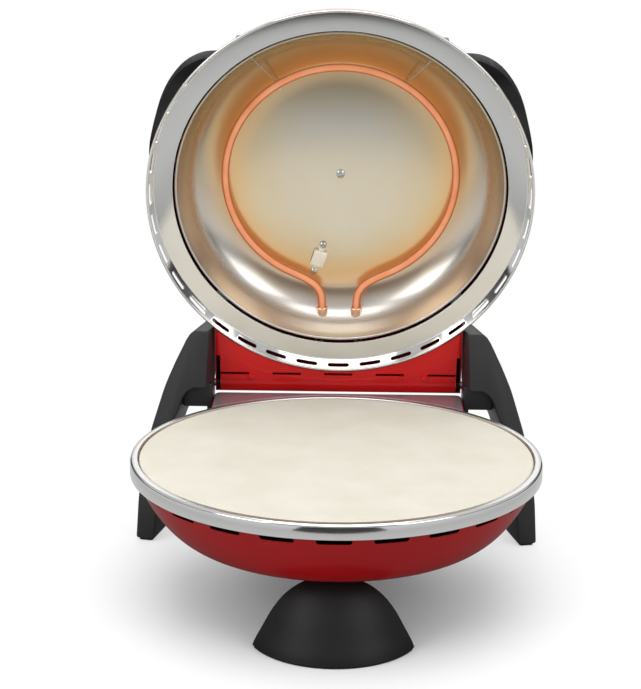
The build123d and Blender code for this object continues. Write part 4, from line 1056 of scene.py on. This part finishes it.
# ---------------------------------------------------------------- dial, knob, lamp, handle
# (x, y) of the handle's plan on its right half, outer and inner edge, from the rear forwards
HANDLE_OUTER = [(160.6, -8), (161.2, -26), (159.8, -40), (154.8, -62), (146.0, -80),
                (133.5, -94.5), (118.5, -102.6), (104, -104.2)]
HANDLE_INNER = [(146.0, -8), (146.4, -22), (144.0, -36), (137.0, -52), (126.0, -66),
                (114.0, -80), (108.0, -90), (100, -94.2)]

# (y, z, corner radius) of the handle seen from the side
HANDLE_SIDE = [(-125, 197, 0), (-98, 197, 10), (-78, 190, 30), (-58, 174, 40), (-46, 158, 20),
               (-38, 151, 8), (-5, 151, 3), (-5, 169, 4), (-22, 172, 30), (-44, 186, 60),
               (-66, 204, 60), (-84, 213, 30), (-94, 216, 10), (-125, 216, 0)]


def dial_plate():
    """Dial plate and its printed scale; every third mark is long."""
    profile = fillet([(5, 0), (31, 0), (31, 1.55), (5, 1.55)], [0, 0, 0.6, 0.3], 4)
    plate = turned(profile, (0, 0, 193.25), UP, 96)
    place(new_object("dial_plate_fine", plate, "dial_steel", "lid", sharp=35))

    outer, first, pitch = 30.2, -135, 10
    marks = []
    for k in range(28):
        length, half_width = (2.6, 0.32) if k % 3 == 0 else (1.4, 0.2)
        mark = upright([(-half_width, outer - length), (half_width, outer - length),
                        (half_width, outer), (-half_width, outer)], 0, 0.12)
        mark.transform(Matrix.Rotation(radians(first + k * pitch), 4, "Z")
                       @ Matrix.Translation((0, 0, 194.79 * MM)))
        marks.append(mark)
    place(new_object("dial_marks", joined(marks), "dial_print", "lid"))


def knob():
    """Round skirt with a tapered grip bar, bored from below, and a white pointer."""
    skirt = fillet([(0, KNOB_Z), (22.6, KNOB_Z), (23.0, KNOB_Z + 6.6), (19.4, KNOB_Z + 10.8),
                    (0, KNOB_Z + 11.2)], [0, 0.8, 1.6, 2.5, 0], 6)
    obj = new_object("knob_fine", lathe(skirt, 160), "black_plastic", "knob", sharp=40)
    grip = fillet([(-6.0, -18.6), (6.0, -18.6), (6.0, 18.6), (-6.0, 18.6)], 4.6, 8)
    bar = prism(grip, lambda x, y, t: (x * (1 - 0.012 * t), y * (1 - 0.01 * t), KNOB_Z + 8 + t),
                11.0, bevel=1.3, seg=4)
    cut(obj, bar, "UNION")
    cut(obj, rod(3.05, 10, (0, 0, KNOB_Z - 1), UP))
    place(obj)

    pointer = upright([(-0.6, -17.6), (0.6, -17.6), (0.6, -7.0), (-0.6, -7.0)],
                      KNOB_Z + 18.85, 0.25)
    place(new_object("knob_pointer", pointer, "pointer_white", "knob"))


def indicator_lamp():
    profile = fillet([(0, -7), (4.1, -7), (4.1, 0.1), (5.6, 0.1), (5.6, 2.0), (0, 3.0)],
                     [0, 0.3, 0, 0.2, 1.2, 0])
    bm = turned(profile, (0, -46, DOME_TOP), UP, 64)
    place(new_object("indicator_lamp_fine", bm, "lamp_amber", "lid", sharp=40))


def handle_edge(points):
    """Smooth plan edge, its part in front of y = -40 drawn back by 12 %."""
    return [(x, y if y > -40 else -40 + (y + 40) * 0.88) for x, y in smooth_curve(points)]


def handle():
    """Wrap-round handle: its plan and side outlines intersected, then fitted to the dome."""
    outer, inner = handle_edge(HANDLE_OUTER), handle_edge(HANDLE_INNER)
    plan = outer + [(-x, y) for x, y in outer[::-1]] + [(-x, y) for x, y in inner] + inner[::-1]
    obj = new_object("handle_fine", upright(plan, 140, 80), "black_plastic_handle", "lid")
    side = fillet([(y, z) for y, z, _ in HANDLE_SIDE], [radius for _, _, radius in HANDLE_SIDE], 6)
    cut(obj, crosswise(side, 200), "INTERSECT")
    grown_dome = [(r + 0.25, z + 0.1) for r, z in dome_profile()[:-1]]
    cut(obj, lathe(grown_dome + [(0, 193.45), (0, 134)], 240))
    bm = bmesh.new()
    bm.from_mesh(obj.data)
    bmesh.ops.dissolve_limit(bm, angle_limit=radians(0.5), verts=bm.verts, edges=bm.edges,
                             delimit=set())
    bm.normal_update()
    bevel_edges(bm, folded_edges(bm, 38), 1.3, 3)
    bm.to_mesh(obj.data)
    bm.free()
    obj.data.shade_smooth()
    obj.data.set_sharp_from_angle(angle=radians(38))
    place(obj)


def handle_trim():
    """Grey bar along the front of the handle."""
    outline = [(-95.6, -95.5), (-89.6, -111.4), (89.6, -111.4), (95.6, -95.5)]
    bm = upright(outline, 200.5, 11.5, bevel=0.8, seg=3)
    place(new_object("handle_trim_fine", bm, "grey_trim", "lid", sharp=40))


# CAD nodes shown as they are, by the material they wear
CAD_LOOKS = {
    "satin_steel": ["base_tray", "thermostat_bracket"],
    "satin_steel_lid": ["reflector_straps"],
    "bush_steel": ["lower_ferrules", "sensor_bulb"],
    "brass_contact": ["lower_terminals", "plug_pins", "upper_terminals"],
    "screw_steel": ["lower_clips", "clip_screws", "foot_screws", "leg_screws", "hinge_pins",
                    "handle_screws", "knob_spindle"],
    "moulded_white": ["terminal_block", "thermostat"],
    "wire_sleeve": ["base_wiring", "lid_wiring"],
    # the hinge plates are black as painted shade for the dark gap beside the panel
    "black_plastic_handle": ["hinge_plates"],
    "rubber_black": ["power_cord"],
}


def build_oven():
    base_shell()
    base_ring()
    stone()
    deck_plate()
    front_foot()
    leg(-1, "left_leg")
    leg(1, "right_leg")
    lid_shell()
    lid_ring()
    lid_reflector()
    elements()
    upper_ferrules()
    element_hooks()
    sensor_clip()
    reflector_screws()
    lid_panel()
    dial_plate()
    knob()
    indicator_lamp()
    handle()
    handle_trim()
    soften_cad_node("leg_pads", "rubber_black", 0.4)
    soften_cad_node("front_foot_pad", "rubber_black", 0.4)
    soften_cad_node("plug", "black_plastic", 0.6)
    soften_cad_node("strain_relief", "rubber_black", 0.4)
    for look, nodes in CAD_LOOKS.items():
        for node in nodes:
            mesh = frame["nodes"][node].data
            mesh.materials.clear()
            mesh.materials.append(MATERIALS[look])


# ---------------------------------------------------------------- studio, in metres
def floor_paper():
    """Paper under the oven that fades outwards into painted white light, cutting its cast shadow short;
    reflections see painted shade, darkest near the oven.
    """
    m = Material("floor_paper")
    radius = m.polar()[0]
    m.put(color=m.mix(m.noise(scale=40, detail=3), (0.925, 0.925, 0.925, 1),
                      (0.915, 0.915, 0.915, 1)), rough=0.9, spec=0.1)

    def emission(color):
        node = m.node("Emission")
        m.feed(color, node.inputs["Color"])
        node.inputs["Strength"].default_value = 1.0
        return node.outputs[0]

    def blend(fac, a, b):
        node = m.node("MixShader")
        for value, socket in zip((fac, a, b), node.inputs):
            m.feed(value, socket)
        return node.outputs[0]

    # painted light: white emission mixed in with distance from the oven lightens the cast shadow
    painted_white_fade = m.span(radius, (0.06, 0.33), smooth=True)
    seen = blend(painted_white_fade, m.shader.outputs[0], emission((1, 1, 1, 1)))
    # painted shade for reflections: the floor they see darkens towards the oven
    greys = m.ramp(m.span(radius, (0.10, 1.6)), [
        (0.0, 0.05), (0.10, 0.20), (0.16, 0.66), (0.23, 0.56), (0.34, (0.80, 0.80, 0.81, 1)),
        (1.0, (0.90, 0.90, 0.91, 1))])
    surface = blend(m.ray("Glossy"), seen, emission(greys))
    m.feed(surface, m.tree.nodes["Material Output"].inputs["Surface"])
    return m.material


def plane(name, width, depth, location, material):
    bm = bmesh.new()
    bmesh.ops.create_grid(bm, x_segments=1, y_segments=1, size=0.5)
    for v in bm.verts:
        v.co.x *= width
        v.co.y *= depth
    mesh = bpy.data.meshes.new(name)
    bm.to_mesh(mesh)
    bm.free()
    mesh.materials.append(material)
    obj = bpy.data.objects.new(name, mesh)
    obj.location = location
    bpy.context.scene.collection.objects.link(obj)
    return obj


def area_light(name, location, target, size, power):
    light = bpy.data.lights.new(name, "AREA")
    light.energy, light.size = power, size
    obj = bpy.data.objects.new(name, light)
    obj.location = location
    aim = Vector(target) - Vector(location)
    obj.rotation_euler = aim.to_track_quat("-Z", "Y").to_euler()
    bpy.context.scene.collection.objects.link(obj)


def front_card():
    """Dark card on the floor in front; it shows only in reflections."""
    material = bpy.data.materials.new("card_front")
    material.use_nodes = True
    shader = material.node_tree.nodes["Principled BSDF"]
    shader.inputs["Base Color"].default_value = (0.012, 0.012, 0.012, 1)
    shader.inputs["Roughness"].default_value = 1.0
    card = plane("card_front", 0.34, 0.47, (0.02, -0.705, 0.002), material)
    card.rotation_euler = Vector(UP).to_track_quat("Z", "Y").to_euler()
    card.visible_camera = False
    card.visible_shadow = False
    card.visible_diffuse = False


def studio_world():
    """White to the camera, one grey gradient for lighting and another for reflections."""
    world = bpy.data.worlds.new("studio")
    bpy.context.scene.world = world
    world.use_nodes = True
    nodes, links = world.node_tree.nodes, world.node_tree.links
    coords = nodes.new("ShaderNodeTexCoord")
    split = nodes.new("ShaderNodeSeparateXYZ")
    links.new(coords.outputs["Generated"], split.inputs[0])

    def gradient(stops, background):
        """Greys by height, 0 at the horizon."""
        ramp = nodes.new("ShaderNodeValToRGB")
        set_stops(ramp.color_ramp, stops)
        links.new(split.outputs[2], ramp.inputs["Fac"])
        links.new(ramp.outputs["Color"], background.inputs["Color"])

    def blend(fac, a, b):
        node = nodes.new("ShaderNodeMixShader")
        for output, socket in zip((fac, a, b), node.inputs):
            links.new(output, socket)
        return node.outputs[0]

    lighting = nodes["Background"]
    lighting.inputs["Strength"].default_value = 0.85
    gradient([(0.0, 0.40), (0.12, 0.42), (0.30, 0.62), (0.55, 0.95), (1.0, 1.0)], lighting)
    reflected = nodes.new("ShaderNodeBackground")
    gradient([(0.0, 0.06), (0.12, 0.12), (0.29, 0.20), (0.36, 0.62), (0.56, 0.62), (0.80, 0.80),
              (1.0, 0.95)], reflected)
    white = nodes.new("ShaderNodeBackground")
    white.inputs["Color"].default_value = (1, 1, 1, 1)
    white.inputs["Strength"].default_value = 1.0
    ray = nodes.new("ShaderNodeLightPath").outputs
    unseen = blend(ray["Is Glossy Ray"], lighting.outputs[0], reflected.outputs[0])
    surface = blend(ray["Is Camera Ray"], unseen, white.outputs[0])
    links.new(surface, nodes["World Output"].inputs[0])


def camera():
    elevation, azimuth, roll = radians(14.94), radians(0.81), radians(0.54)
    distance = 1.5
    target = Vector((-13.23 * MM, AXIS_Y, 208.97 * MM))
    back = Vector((sin(azimuth) * cos(elevation), -cos(azimuth) * cos(elevation),
                   sin(elevation)))
    level_right = (-back).cross(Vector(UP)).normalized()
    level_up = level_right.cross(-back).normalized()
    right = level_right * cos(roll) + level_up * sin(roll)
    up = -level_right * sin(roll) + level_up * cos(roll)
    data = bpy.data.cameras.new("camera")
    data.lens = 100.9316691
    data.sensor_width = 36
    data.clip_start = 0.05
    obj = bpy.data.objects.new("camera", data)
    bpy.context.scene.collection.objects.link(obj)
    pose = Matrix((right, up, back)).transposed().to_4x4()
    pose.translation = target + back * distance
    obj.matrix_world = pose
    bpy.context.scene.camera = obj


make_materials()
build_oven()
plane("floor", 12.0, 12.0, (0, 0, -0.0003), floor_paper())
area_light("key_top", (0.0, -0.25, 1.75), target=(0, 0.02, 0.1), size=1.5, power=15.0)
area_light("fill_left", (-1.25, -1.05, 0.95), target=(0, 0.0, 0.2), size=0.9, power=7.0)
area_light("fill_right", (1.25, -1.05, 0.95), target=(0, 0.0, 0.2), size=0.9, power=6.0)
area_light("back_rim", (0.0, 1.5, 1.1), target=(0, 0.0, 0.2), size=1.2, power=6.0)
front_card()
studio_world()
camera()
bpy.context.scene.view_settings.view_transform = "Standard"
bpy.context.scene.view_settings.look = "None"
